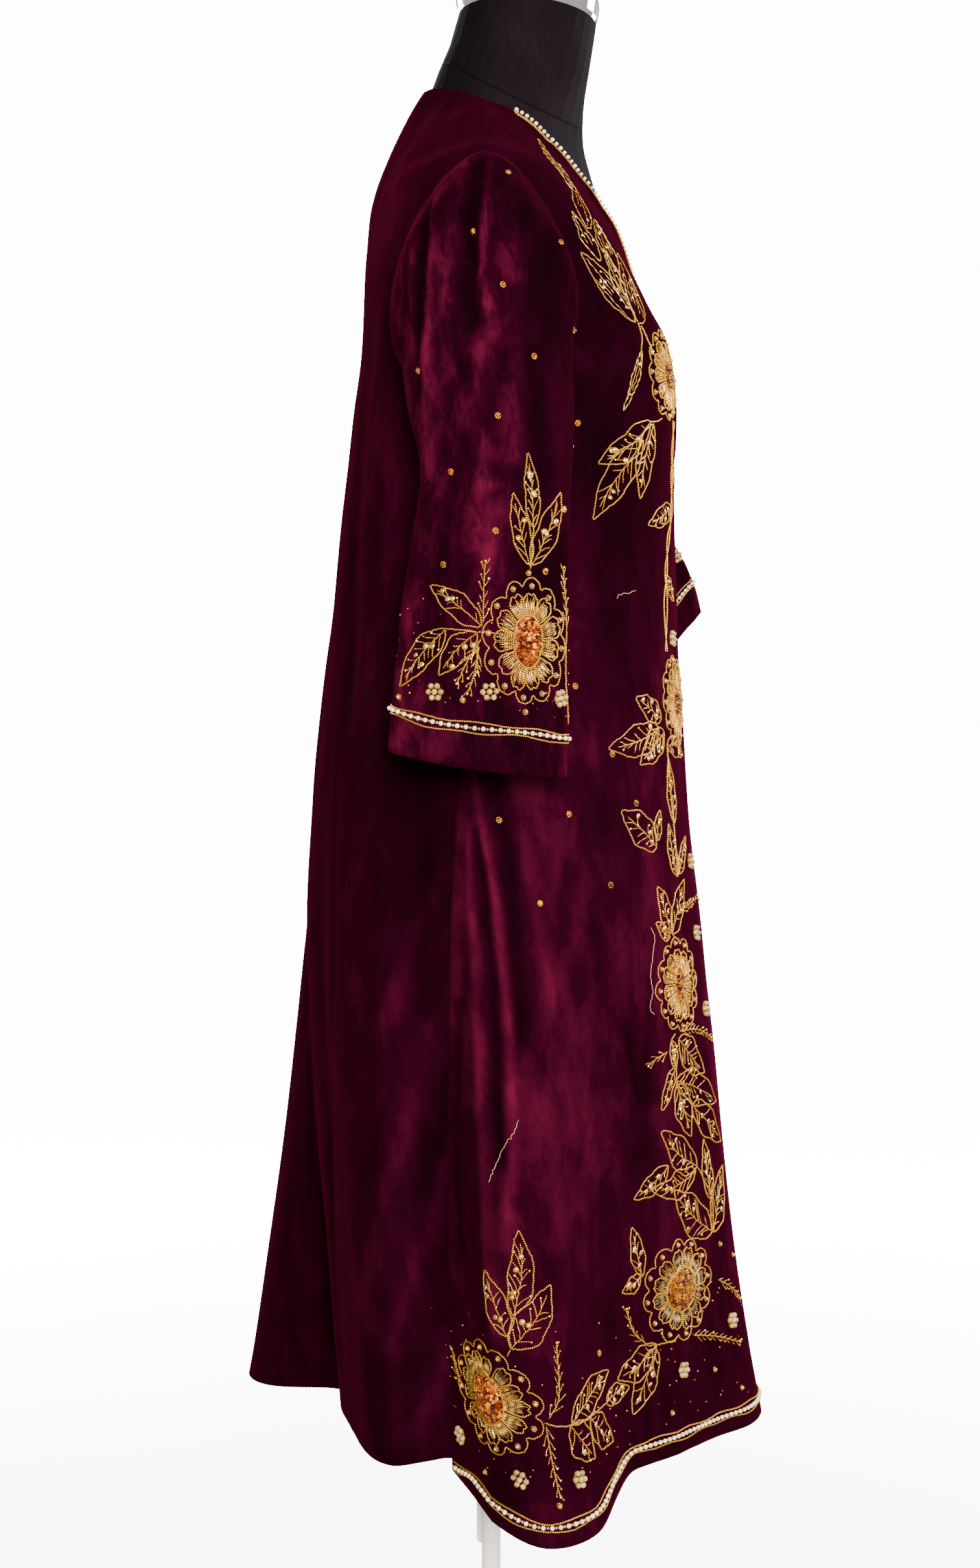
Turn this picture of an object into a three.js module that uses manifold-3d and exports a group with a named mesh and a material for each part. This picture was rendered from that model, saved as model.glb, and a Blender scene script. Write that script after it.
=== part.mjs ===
// Velvet kaftan on a limbless dress form and stand.
// Millimetres, +Z up. The origin is the centre of the base's underside, the garment faces -Y,
// and the wearer's right is -X. "Ahead" is the distance in front of the pole, so y = -ahead.
// Angles go round the pole in degrees: 0 at the centre front, positive to the wearer's right.
import * as THREE from 'three';
import Module from 'manifold-3d';
import { mergeVertices } from 'three/addons/utils/BufferGeometryUtils.js';

const { clamp, degToRad, lerp } = THREE.MathUtils;
const wasm = await Module();
wasm.setup();

// ---------------------------------------------------------------- driving sizes
const CLOTH = 2;              // pile velvet with its backing
const SEAM_EASE = 0.15;       // each piece stops this far short of its seam line
const UNDERARM_Z = 1100;      // top of the side seam
const SHOULDER_Z = 1298;      // outer end of the shoulder seam
const NECK_POINT_Z = 1372;    // inner end of the shoulder seam
const V_BOTTOM_Z = 1240;
const BACK_NECK_Z = 1400;
const SHOULDER_LINE = -4;     // how far ahead of the pole the shoulder seam lies
const HEM_Z = 275;            // where the folds of the skirt have their full reach
const FOLD_GROWTH = 1.4;      // folds open slowly at first, then faster towards the hem
const HEM_BAND_RISE = 15;      // lower edge of the pearl band above the hem
const CUFF_BAND_RISE = 25;
const BAND_WIDTH = 8;
const BAND_LIFT = 0.35;       // air between a panel and what is sewn on it
const BAND_THICKNESS = 1.8;
const FLOWER_THICKNESS = 1.5;

// Level sections of the body: half width, reach ahead of and behind the pole,
// how far ahead the widest line lies, and squareness (2 is an ellipse).
const BODY = [
  { z: 1410, side: 53, front: 72, back: 54, mid: -4, square: 1.7 },
  { z: 1400, side: 60, front: 74, back: 60, mid: -4, square: 1.7 },
  { z: 1386, side: 69, front: 76, back: 68.5, mid: -4, square: 1.55 },
  { z: 1372, side: 80, front: 76, back: 76, mid: -4, square: 1.45 },
  { z: 1358, side: 100, front: 77, back: 83, mid: -4, square: 1.4 },
  { z: 1340, side: 126, front: 80, back: 91, mid: -4, square: 1.38 },
  { z: 1320, side: 155, front: 87, back: 98.5, mid: -4, square: 1.38 },
  { z: 1298, side: 185, front: 95, back: 103.5, mid: -4, square: 1.5 },
  { z: 1272, side: 188, front: 107, back: 105.5, mid: -4, square: 1.75 },
  { z: 1244, side: 187, front: 117.5, back: 107, mid: -4, square: 2.1 },
  { z: 1206, side: 184, front: 134, back: 108, mid: -4, square: 2.5 },
  { z: 1172, side: 182, front: 150.5, back: 109.5, mid: -4, square: 2.6 },
  { z: 1122, side: 180, front: 156, back: 115.5, mid: -4, square: 2.6 },
  { z: 1067, side: 181, front: 154, back: 122, mid: -4, square: 2.5 },
  { z: 1011, side: 183, front: 155, back: 129, mid: -3, square: 2.4 },
  { z: 956, side: 189, front: 157, back: 134, mid: -2, square: 2.3 },
  { z: 894, side: 199, front: 160, back: 141.5, mid: -1, square: 2.25 },
  { z: 800, side: 210, front: 166, back: 150, mid: 0, square: 2.2 },
  { z: 700, side: 211, front: 176, back: 155, mid: 0, square: 2.2 },
  { z: 600, side: 209, front: 189, back: 152, mid: 0, square: 2.2 },
  { z: 500, side: 205, front: 200, back: 146, mid: 0, square: 2.2 },
  { z: 400, side: 197, front: 213, back: 139, mid: 0, square: 2.2 },
  { z: 300, side: 187, front: 230, back: 131, mid: 0, square: 2.2 },
  { z: 230, side: 181, front: 244, back: 127, mid: 0, square: 2.2 },
];

// Folds of the skirt: the height each starts from, its angle there and at the hem, its reach
// out of (or into) the body at the hem, and how wide it is before and after its middle.
const FOLDS = [
  { name: 'front dip right', from: 900, top: 40, hem: 34, reach: -29, before: 22, after: 20 },
  { name: 'side front fold right', from: 900, top: 90, hem: 83, reach: 86, before: 13, after: 11 },
  { name: 'seam tuck right', from: 760, top: 101, hem: 105.5, reach: -9, before: 5, after: 4 },
  { name: 'side back fold right', from: 800, top: 124, hem: 121, reach: 23, before: 7, after: 16 },
  { name: 'back tuck', from: 800, top: 178, hem: 177, reach: -16, before: 10, after: 8 },
  { name: 'back fold left', from: 880, top: -150, hem: -158, reach: 110, before: 17, after: 20 },
  { name: 'side back fold left', from: 780, top: -120, hem: -122, reach: 26, before: 11, after: 8 },
  { name: 'seam tuck left', from: 760, top: -100, hem: -105, reach: -8, before: 4, after: 6 },
  { name: 'side front fold left', from: 900, top: -88, hem: -80, reach: 72, before: 11, after: 14 },
  { name: 'front dip left', from: 900, top: -42, hem: -38, reach: -24, before: 20, after: 22 },
];

// Angle of the side seams, which swing back towards the hem.
const SIDE_SEAM = [
  { z: 1100, angle: 90 },
  { z: 950, angle: 95 },
  { z: 800, angle: 100 },
  { z: 500, angle: 103 },
  { z: 260, angle: 104 },
];

// Height of the hem round each panel.
const FRONT_HEM = [
  { angle: -104, z: 273 },
  { angle: -92, z: 264 },
  { angle: -80, z: 261 },
  { angle: -62, z: 272 },
  { angle: -40, z: 277 },
  { angle: 0, z: 275 },
  { angle: 45, z: 277 },
  { angle: 62, z: 279 },
  { angle: 70, z: 268 },
  { angle: 76, z: 256 },
  { angle: 83, z: 254 },
  { angle: 92, z: 267 },
  { angle: 104, z: 280 },
];
const BACK_HEM = [
  { angle: 104, z: 289 },
  { angle: 122, z: 286 },
  { angle: 138, z: 287 },
  { angle: 165, z: 299 },
  { angle: 180, z: 293 },
  { angle: 196, z: 277 },
  { angle: 210, z: 281 },
  { angle: 236, z: 288 },
  { angle: 256, z: 289 },
];

// Neckline, from the point of the V or the centre back to the shoulder seam.
const FRONT_NECK = [
  { z: 1240, angle: 0 },
  { z: 1257, angle: 4 },
  { z: 1274, angle: 8.5 },
  { z: 1293, angle: 15 },
  { z: 1312, angle: 23 },
  { z: 1332, angle: 36 },
  { z: 1355, angle: 60 },
  { z: 1372, angle: 90 },
];
const BACK_NECK = [
  { z: 1400, angle: 180 },
  { z: 1396, angle: 145 },
  { z: 1387, angle: 115 },
  { z: 1372, angle: 90 },
];

// Armhole: an egg with its broad end down, seen from the side.
const ARMHOLE = { ahead: 68, behind: 76, sag: 12 };
const ARMHOLE_STEP = 15;      // degrees round the egg between one row of cloth and the next
const ARMHOLE_ROWS = 180 / ARMHOLE_STEP;

// Sleeve rings, from the head to the cuff: distance out from the middle of the body, distance
// ahead, height, half depth and its tilt, half thickness and its lean, and squareness.
const SLEEVES = {
  right: [
    { out: 204, ahead: -5, z: 1175, reach: 71, tilt: 0, puff: 81.5, lean: 76, square: 1.9 },
    { out: 215, ahead: -3, z: 1137, reach: 66, tilt: 0, puff: 67.5, lean: 65, square: 1.8 },
    { out: 222.5, ahead: 0, z: 1093, reach: 63, tilt: 0, puff: 54.5, lean: 52, square: 1.7 },
    { out: 228.5, ahead: 3, z: 1045, reach: 57, tilt: 0, puff: 43.5, lean: 35, square: 1.6 },
    { out: 234.5, ahead: -1, z: 994, reach: 58.5, tilt: -1, puff: 38, lean: 17, square: 1.5 },
    { out: 241.5, ahead: -5, z: 942, reach: 61.5, tilt: -3, puff: 36.5, lean: 4, square: 1.5 },
    { out: 250.5, ahead: -8, z: 883, reach: 64, tilt: -6, puff: 35.5, lean: -3, square: 1.5 },
    { out: 260, ahead: -10.5, z: 824, reach: 66.5, tilt: -9.5, puff: 35.5, lean: -8, square: 1.5 },
  ],
  left: [
    { out: 204, ahead: -2, z: 1172, reach: 71, tilt: 8, puff: 81, lean: 75, square: 1.9 },
    { out: 215, ahead: 17, z: 1138, reach: 69, tilt: 17, puff: 66, lean: 62, square: 1.8 },
    { out: 221, ahead: 42, z: 1103, reach: 67, tilt: 25, puff: 54, lean: 47, square: 1.7 },
    { out: 225, ahead: 68, z: 1068, reach: 67, tilt: 32, puff: 45, lean: 30, square: 1.65 },
    { out: 227, ahead: 95, z: 1032, reach: 68, tilt: 38, puff: 40, lean: 15, square: 1.6 },
    { out: 226, ahead: 126, z: 992, reach: 70, tilt: 43, puff: 38, lean: 4, square: 1.6 },
    { out: 222, ahead: 143, z: 954, reach: 73, tilt: 47, puff: 37, lean: 0, square: 1.6 },
    { out: 217, ahead: 153, z: 918, reach: 76, tilt: 50, puff: 37, lean: -2, square: 1.6 },
  ],
};
const SLEEVE_RUNS = 8;        // lengths of cloth between the armhole and the cuff band
// Pleats of the sleeve head: angle round the sleeve from its top, and depth of the pleat.
const PLEATS = [
  { angle: 15, depth: 6 },
  { angle: 45, depth: 4 },
  { angle: -15, depth: 7 },
  { angle: -45, depth: 6 },
  { angle: -75, depth: 4 },
];
const PLEAT_WIDTH = 9;
const PLEAT_LENGTH = 4.5;     // rings down the sleeve before the pleats fade out

// Embroidered flowers: place on the front, and radius to the tips of the scallops.
const FLOWERS = [
  { name: 'vine_flower_1', angle: 26, z: 1144, radius: 43 },
  { name: 'vine_flower_2', angle: 30, z: 876, radius: 45 },
  { name: 'vine_flower_3', angle: 32, z: 648, radius: 45 },
  { name: 'vine_flower_4', angle: 42, z: 405, radius: 44 },
  { name: 'hem_flower', angle: 91, z: 350, radius: 42 },
];
const CUFF_FLOWER = { turn: 36, down: { right: 6.4, left: 5.6 }, radius: 43 };
const SCALLOPS = 12;

// Dress form, from the hips to the top of the neck. The last ring tilts with the cut neck.
const FORM = [
  { z: 800, side: 158, front: 136, back: 116, mid: 0, square: 2.3 },
  { z: 850, side: 163, front: 139, back: 120, mid: 0, square: 2.3 },
  { z: 900, side: 160, front: 136, back: 115, mid: 0, square: 2.3 },
  { z: 950, side: 145, front: 127, back: 103, mid: 0, square: 2.3 },
  { z: 1005, side: 131, front: 118, back: 94, mid: 0, square: 2.3 },
  { z: 1060, side: 143, front: 131, back: 96, mid: -2, square: 2.3 },
  { z: 1115, side: 161, front: 146, back: 101, mid: -4, square: 2.35 },
  { z: 1165, side: 170, front: 143, back: 102.5, mid: -4, square: 2.35 },
  { z: 1206, side: 174, front: 127, back: 102, mid: -4, square: 2.2 },
  { z: 1244, side: 176, front: 112.5, back: 101, mid: -4, square: 1.8 },
  { z: 1272, side: 174, front: 104.5, back: 99, mid: -4, square: 1.45 },
  { z: 1298, side: 168, front: 97, back: 96.5, mid: -4, square: 1.35 },
  { z: 1320, side: 142, front: 89, back: 91.5, mid: -4, square: 1.28 },
  { z: 1340, side: 113, front: 83, back: 84, mid: -4, square: 1.28 },
  { z: 1358, side: 88, front: 79, back: 76, mid: -3, square: 1.33 },
  { z: 1372, side: 71, front: 78.5, back: 66.5, mid: 0, square: 1.5 },
  { z: 1386, side: 62, front: 79, back: 59, mid: 6, square: 1.7 },
  { z: 1400, side: 56, front: 80.5, back: 53, mid: 12, square: 1.85 },
  { z: 1418, side: 55.5, front: 83.5, back: 46, mid: 18, square: 2 },
  { z: 1440, side: 56, front: 87, back: 36.5, mid: 25, square: 2 },
  { z: 1460, side: 57, front: 90, back: 28, mid: 31, square: 2 },
];
const NECK_CUT_SLOPE = 0.08;  // the cut top of the neck rises towards the back
const FORM_COLUMNS = 32;

// Polished cap on the neck: rise above the cut, and how far it stands out past the neck.
const CAP = [
  { rise: 0.3, proud: -1 },
  { rise: 4, proud: 1 },
  { rise: 16, proud: 3 },
  { rise: 24, proud: 1 },
  { rise: 29, proud: -8 },
  { rise: 32, proud: -24 },
];

const POLE_RADIUS = 8;
const FLANGE = { radius: 34, thickness: 6 };
const TAB = { width: 10, depth: 3, bottom: 157, top: 420, behind: 7.5 };
const BASE = { radius: 190, thickness: 8, hubRadius: 19, hubHeight: 46 };
const GAP = 0.3;              // air between hard pieces that touch

const velvet = { color: 0x4a0620, roughness: 0.85, metalness: 0 };
const goldWork = { color: 0xc79a4a, roughness: 0.45, metalness: 0.6 };
const blackCover = { color: 0x2c2a30, roughness: 0.9, metalness: 0 };
const polished = { color: 0xd9d2cf, roughness: 0.08, metalness: 1 };
const whitePaint = { color: 0xf0ece8, roughness: 0.4, metalness: 0 };

// ---------------------------------------------------------------- curves and tables
// Monotone cubic through one named column of a table, which never overshoots its rows.
function smoothColumn(rows, key, name) {
  const x = rows.map((row) => row[key]);
  const y = rows.map((row) => row[name]);
  const steps = x.slice(1).map((value, i) => value - x[i]);
  const slopes = steps.map((step, i) => (y[i + 1] - y[i]) / step);
  const tangents = x.map((_, i) => {
    if (i === 0) return slopes[0];
    if (i === x.length - 1) return slopes[i - 1];
    if (slopes[i - 1] * slopes[i] <= 0) return 0;
    const before = 2 * steps[i] + steps[i - 1];
    const after = steps[i] + 2 * steps[i - 1];
    return (before + after) / (before / slopes[i - 1] + after / slopes[i]);
  });
  return (value) => {
    const at = clamp(value, x[0], x[x.length - 1]);
    let i = 0;
    while (i < steps.length - 1 && at > x[i + 1]) i += 1;
    const t = (at - x[i]) / steps[i];
    const rise = (3 - 2 * t) * t * t;
    const bend = steps[i] * t * (1 - t);
    return lerp(y[i], y[i + 1], rise) + bend * ((1 - t) * tangents[i] - t * tangents[i + 1]);
  };
}

function smoothTable(table, key) {
  const rows = [...table].sort((a, b) => a[key] - b[key]);
  const names = Object.keys(rows[0]).filter((name) => name !== key && name !== 'name');
  const columns = names.map((name) => [name, smoothColumn(rows, key, name)]);
  return (value) => Object.fromEntries(columns.map(([name, read]) => [name, read(value)]));
}

const bodyLevel = smoothTable(BODY, 'z');
const formLevel = smoothTable(FORM, 'z');
const seamLevel = smoothTable(SIDE_SEAM, 'z');
const frontHem = smoothTable(FRONT_HEM, 'angle');
const backHem = smoothTable(BACK_HEM, 'angle');

// Point of a rounded section: how far to the wearer's right, and how far ahead of the pole.
function ovalPoint(level, angle) {
  const across = Math.sin(degToRad(angle));
  const along = Math.cos(degToRad(angle));
  const power = level.square;
  const size = (Math.abs(across) ** power + Math.abs(along) ** power) ** (-1 / power);
  const reach = along > 0 ? level.front - level.mid : level.back + level.mid;
  return { right: level.side * across * size, ahead: level.mid + reach * along * size };
}

function foldReach(angle, z) {
  return FOLDS.reduce((sum, fold) => {
    const fallen = Math.max((fold.from - z) / (fold.from - HEM_Z), 0);
    const middle = lerp(fold.top, fold.hem, fallen);
    const away = ((angle - middle + 540) % 360) - 180;
    const width = away < 0 ? fold.before : fold.after;
    return sum + fold.reach * fallen ** FOLD_GROWTH * Math.exp(-((away / width) ** 2));
  }, 0);
}

function bodyPoint(angle, z) {
  const { right, ahead } = ovalPoint(bodyLevel(z), angle);
  const grow = 1 + foldReach(angle, z) / Math.hypot(right, ahead);
  return new THREE.Vector3(-right * grow, -ahead * grow, z);
}

function bodyNormal(angle, z) {
  const round = bodyPoint(angle + 0.5, z).sub(bodyPoint(angle - 0.5, z));
  const up = bodyPoint(angle, z + 1).sub(bodyPoint(angle, z - 1));
  return up.cross(round).normalize();
}

// Angle at which the level section at z lies the given distance ahead of the pole.
function angleAhead(ahead, z) {
  let low = 0;
  let high = 180;
  for (let pass = 0; pass < 40; pass += 1) {
    const middle = (low + high) / 2;
    if (-bodyPoint(middle, z).y > ahead) low = middle;
    else high = middle;
  }
  return (low + high) / 2;
}

// Armhole on the wearer's right, by the turn down from the shoulder point to the underarm.
function armholeSpot(turn, width) {
  const middle = (SHOULDER_Z + UNDERARM_Z) / 2;
  const z = middle + (SHOULDER_Z - middle) * Math.cos(degToRad(turn));
  const eased = turn - ARMHOLE.sag * Math.sin(degToRad(turn));
  const ahead = SHOULDER_LINE + width * Math.sin(degToRad(eased));
  const atEnd = turn === 0 || turn === 180;
  return { z, angle: atEnd ? 90 : angleAhead(ahead, z) };
}

// ---------------------------------------------------------------- sheets and walls
// A sheet is points with their outward normals, and triangles between them.
function newSheet() {
  return { points: [], normals: [], faces: [] };
}

function addPoint(sheet, point, normal) {
  sheet.points.push(point);
  sheet.normals.push(normal);
  return sheet.points.length - 1;
}

function addFace(sheet, a, b, c) {
  const [p, q, r] = [a, b, c].map((index) => sheet.points[index]);
  const facing = q.clone().sub(p).cross(r.clone().sub(p)).dot(sheet.normals[a]);
  sheet.faces.push(facing > 0 ? [a, b, c] : [a, c, b]);
}

function addGridFaces(sheet, grid) {
  for (let row = 0; row < grid.length - 1; row += 1) {
    for (let column = 0; column < grid[row].length - 1; column += 1) {
      const [a, b] = [grid[row][column], grid[row][column + 1]];
      const [c, d] = [grid[row + 1][column], grid[row + 1][column + 1]];
      addFace(sheet, a, b, d);
      addFace(sheet, a, d, c);
    }
  }
}

// Closed wall between two offsets of a sheet along its normals.
function wall(sheet, inside, outside) {
  const count = sheet.points.length;
  const moved = (point, i, offset) => point.clone().addScaledVector(sheet.normals[i], offset);
  const skin = (offset) => sheet.points.map((point, i) => moved(point, i, offset));
  const corners = [...skin(outside), ...skin(inside)];
  const triangles = [];
  const edges = new Set(sheet.faces.flatMap(([a, b, c]) => [`${a},${b}`, `${b},${c}`, `${c},${a}`]));
  for (const [a, b, c] of sheet.faces) {
    triangles.push([a, b, c], [a + count, c + count, b + count]);
    for (const [from, to] of [[a, b], [b, c], [c, a]]) {
      if (!edges.has(`${to},${from}`)) {
        triangles.push([to, from, from + count], [to, from + count, to + count]);
      }
    }
  }
  return shapeOf(corners, triangles);
}

function shapeOf(corners, triangles) {
  const shape = new THREE.BufferGeometry();
  const numbers = corners.flatMap((corner) => corner.toArray());
  shape.setAttribute('position', new THREE.Float32BufferAttribute(numbers, 3));
  shape.setIndex(triangles.flat());
  return shape;
}

// The part of a sheet that lies between two rows and two columns of its grids.
function patch(sheet, grids, rows, columns) {
  const piece = newSheet();
  const copies = new Map();
  const copyOf = (index) => {
    if (!copies.has(index)) {
      copies.set(index, addPoint(piece, sheet.points[index].clone(), sheet.normals[index]));
    }
    return copies.get(index);
  };
  for (const grid of grids) {
    const bandRows = grid.slice(rows.from, rows.to + 1);
    addGridFaces(piece, bandRows.map((row) => row.slice(columns.from, columns.to + 1).map(copyOf)));
  }
  return piece;
}

function moveTowards(sheet, index, neighbour, distance) {
  const way = sheet.points[neighbour].clone().sub(sheet.points[index]).normalize();
  sheet.points[index].addScaledVector(way, distance);
}

// ---------------------------------------------------------------- front and back
// Each row of a panel runs from its inner spot, on the centre line or the neckline, to its
// outer spot, on the side seam or the armhole. Past splitRow the two halves part at the neck.
function bodyPanel({ rows, columns, splitRow, hemAt }) {
  const sheet = newSheet();
  const halves = { right: [], left: [] };
  for (const [half, turn] of [['right', 1], ['left', -1]]) {
    rows.forEach((row, r) => {
      halves[half].push(columns.map((share, c) => {
        if (c === 0 && half === 'left' && r <= splitRow) return halves.right[r][0];
        const angle = turn * lerp(row.inner.angle, row.outer.angle, share);
        const level = row.rise === undefined
          ? lerp(row.inner.z, row.outer.z, share)
          : hemAt(angle) + row.rise + (UNDERARM_Z - hemAt(angle) - row.rise) * row.share;
        return addPoint(sheet, bodyPoint(angle, level), bodyNormal(angle, level));
      }));
    });
    addGridFaces(sheet, halves[half]);
  }
  for (const grid of Object.values(halves)) {
    const last = columns.length - 1;
    const top = rows.length - 1;
    grid.forEach((row) => moveTowards(sheet, row[last], row[last - 1], SEAM_EASE));
    grid[top].forEach((index, c) => moveTowards(sheet, index, grid[top - 1][c], SEAM_EASE));
  }
  return { sheet, halves };
}

const evenShares = (count) => Array.from({ length: count + 1 }, (_, i) => i / count);

// Rows of the skirt below the underarm, each level but for the rise and fall of the hem.
function skirtRows(centreAngle, rises) {
  return rises.map(({ rise, share }) => {
    const z = lerp(HEM_Z + rise, UNDERARM_Z, share);
    return { inner: { angle: centreAngle }, outer: { angle: seamLevel(z).angle }, rise, share };
  });
}

// Rows beside the armhole. The inner ends climb the centre line and then follow the neckline.
function chestRows(centreAngle, neckZ, neckline, width, neckRows) {
  const straightRows = ARMHOLE_ROWS - neckRows;
  const rows = [];
  for (let row = 1; row <= ARMHOLE_ROWS; row += 1) {
    const outer = armholeSpot(180 - row * ARMHOLE_STEP, width);
    const inner = row <= straightRows
      ? { angle: centreAngle, z: lerp(UNDERARM_Z, neckZ, row / straightRows) }
      : neckline[row - straightRows];
    rows.push({ inner, outer });
  }
  return rows;
}

const SKIRT_STEPS = 10;
const frontRises = [
  { rise: 0, share: 0 },
  { rise: HEM_BAND_RISE, share: 0 },
  ...evenShares(SKIRT_STEPS).map((share) => ({ rise: HEM_BAND_RISE + BAND_WIDTH, share })),
];
const frontNeckRows = FRONT_NECK.length - 1;
const frontRows = [
  ...skirtRows(0, frontRises),
  ...chestRows(0, V_BOTTOM_Z, FRONT_NECK, ARMHOLE.ahead, frontNeckRows),
];
const frontSplit = frontRows.length - 1 - frontNeckRows;
const EDGE_SHARE = 0.06;      // width of the neck band as a share of the row it starts
const crowd = (share) => share * (1.3 - 0.3 * share);      // closer columns towards the side folds
const frontColumns = [0, ...evenShares(13).map((share) => lerp(EDGE_SHARE, 1, crowd(share)))];
const front = bodyPanel({
  rows: frontRows,
  columns: frontColumns,
  splitRow: frontSplit,
  hemAt: (angle) => frontHem(angle).z,
});

const backRises = evenShares(SKIRT_STEPS).map((share) => ({ rise: 0, share }));
const backNeckRows = BACK_NECK.length - 1;
const backRows = [
  ...skirtRows(180, backRises),
  ...chestRows(180, BACK_NECK_Z, BACK_NECK, -ARMHOLE.behind, backNeckRows),
];
const back = bodyPanel({
  rows: backRows,
  columns: evenShares(10),
  splitRow: backRows.length - 1 - backNeckRows,
  hemAt: (angle) => backHem((angle + 360) % 360).z,
});

// ---------------------------------------------------------------- sleeves
const LOOP_TURNS = Array.from({ length: 2 * ARMHOLE_ROWS }, (_, i) => i * ARMHOLE_STEP);

// Where a turn round the sleeve from its top falls on the armhole.
function armholePoint(side, turn) {
  const aheadHalf = turn <= 180;
  const width = aheadHalf ? ARMHOLE.ahead : -ARMHOLE.behind;
  const spot = armholeSpot(aheadHalf ? turn : 360 - turn, width);
  return bodyPoint(side * spot.angle, spot.z);
}

function ringPoint(side, ring, turn) {
  const top = Math.cos(degToRad(turn));
  const fore = Math.sin(degToRad(turn));
  const power = ring.square;
  const size = (Math.abs(top) ** power + Math.abs(fore) ** power) ** (-1 / power);
  const [tilt, lean] = [degToRad(ring.tilt), degToRad(ring.lean)];
  const depth = ring.reach * fore * size;
  const height = ring.puff * top * size;
  const out = ring.out + height * Math.cos(lean);
  const ahead = ring.ahead + depth * Math.cos(tilt) - height * Math.sin(lean) * Math.sin(tilt);
  const z = ring.z + depth * Math.sin(tilt) + height * Math.sin(lean) * Math.cos(tilt);
  return new THREE.Vector3(-side * out, -ahead, z);
}

// A sleeve is smooth lengths of cloth through its rings, one for each turn round it.
function makeSleeve(side, rings) {
  const lengths = new Map();
  const lengthAt = (turn) => {
    if (!lengths.has(turn)) {
      const stops = [armholePoint(side, turn), ...rings.map((ring) => ringPoint(side, ring, turn))];
      lengths.set(turn, new THREE.CatmullRomCurve3(stops, false, 'catmullrom', 0.5));
    }
    return lengths.get(turn);
  };
  const smooth = (turn, down) => (
    lengthAt((turn + 360) % 360).getPoint(clamp(down / rings.length, 0, 1)));
  const outward = (turn, down) => {
    const round = smooth(turn + 1, down).sub(smooth(turn - 1, down));
    const along = smooth(turn, Math.min(down + 0.05, rings.length))
      .sub(smooth(turn, Math.max(down - 0.05, 0)));
    return along.cross(round).multiplyScalar(side).normalize();
  };
  const pleat = (turn, down) => PLEATS.reduce((sum, { angle, depth }) => {
    const away = ((turn - angle + 540) % 360) - 180;
    const fade = Math.min(down, 1) * clamp(1 - down / PLEAT_LENGTH, 0, 1);
    return sum - depth * fade * Math.exp(-((away / PLEAT_WIDTH) ** 2));
  }, 0);
  const point = (turn, down) => (
    smooth(turn, down).addScaledVector(outward(turn, down), pleat(turn, down)));

  const cuff = rings.length;
  const lastLength = smooth(0, cuff).distanceTo(smooth(0, cuff - 1));
  const bandLow = cuff - CUFF_BAND_RISE / lastLength;
  const bandHigh = bandLow - BAND_WIDTH / lastLength;
  const firstRun = 0.5;
  const runs = evenShares(SLEEVE_RUNS).map((share) => lerp(firstRun, bandHigh, share));
  const downs = [0, ...runs, bandLow, cuff];
  const sheet = newSheet();
  const grid = downs.map((down) => {
    const ring = LOOP_TURNS.map((turn) => addPoint(sheet, point(turn, down), outward(turn, down)));
    return [...ring, ring[0]];
  });
  addGridFaces(sheet, grid);
  grid[0].slice(0, -1).forEach((index, i) => moveTowards(sheet, index, grid[1][i], SEAM_EASE));
  return { sheet, grid, point, outward };
}

const sleeves = {
  right: makeSleeve(1, SLEEVES.right),
  left: makeSleeve(-1, SLEEVES.left),
};

// ---------------------------------------------------------------- embroidery in relief
function solidOf(geometry) {
  const bare = new THREE.BufferGeometry();
  bare.setAttribute('position', geometry.getAttribute('position'));
  bare.setIndex(geometry.getIndex());
  const merged = mergeVertices(bare);
  return new wasm.Manifold(new wasm.Mesh({
    numProp: 3,
    vertProperties: Float32Array.from(merged.getAttribute('position').array),
    triVerts: Uint32Array.from(merged.getIndex().array),
  }));
}

function geometryOf(solid) {
  const mesh = solid.getMesh();
  const geometry = new THREE.BufferGeometry();
  geometry.setAttribute('position', new THREE.Float32BufferAttribute(mesh.vertProperties, 3));
  geometry.setIndex(Array.from(mesh.triVerts));
  return geometry;
}

// Scalloped outline: the tips stand at the radius and the notches a little inside it.
function flowerCutter(radius, centre, outward) {
  const depth = 40;
  const outline = Array.from({ length: 2 * SCALLOPS }, (_, i) => {
    const turn = (Math.PI * i) / SCALLOPS;
    const reach = i % 2 === 0 ? radius : radius * 0.9;
    return new THREE.Vector2(reach * Math.cos(turn), reach * Math.sin(turn));
  });
  const cutter = new THREE.ExtrudeGeometry(new THREE.Shape(outline), { depth, bevelEnabled: false });
  cutter.translate(0, 0, -depth / 2);
  cutter.applyQuaternion(new THREE.Quaternion().setFromUnitVectors(new THREE.Vector3(0, 0, 1), outward));
  cutter.translate(centre.x, centre.y, centre.z);
  cutter.deleteAttribute('normal');
  cutter.deleteAttribute('uv');
  return solidOf(mergeVertices(cutter));
}

function flower(layer, radius, centre, outward) {
  return geometryOf(layer.intersect(flowerCutter(radius, centre, outward)));
}

const reliefLayer = (sheet) => solidOf(wall(sheet, BAND_LIFT, BAND_LIFT + FLOWER_THICKNESS));

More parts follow.
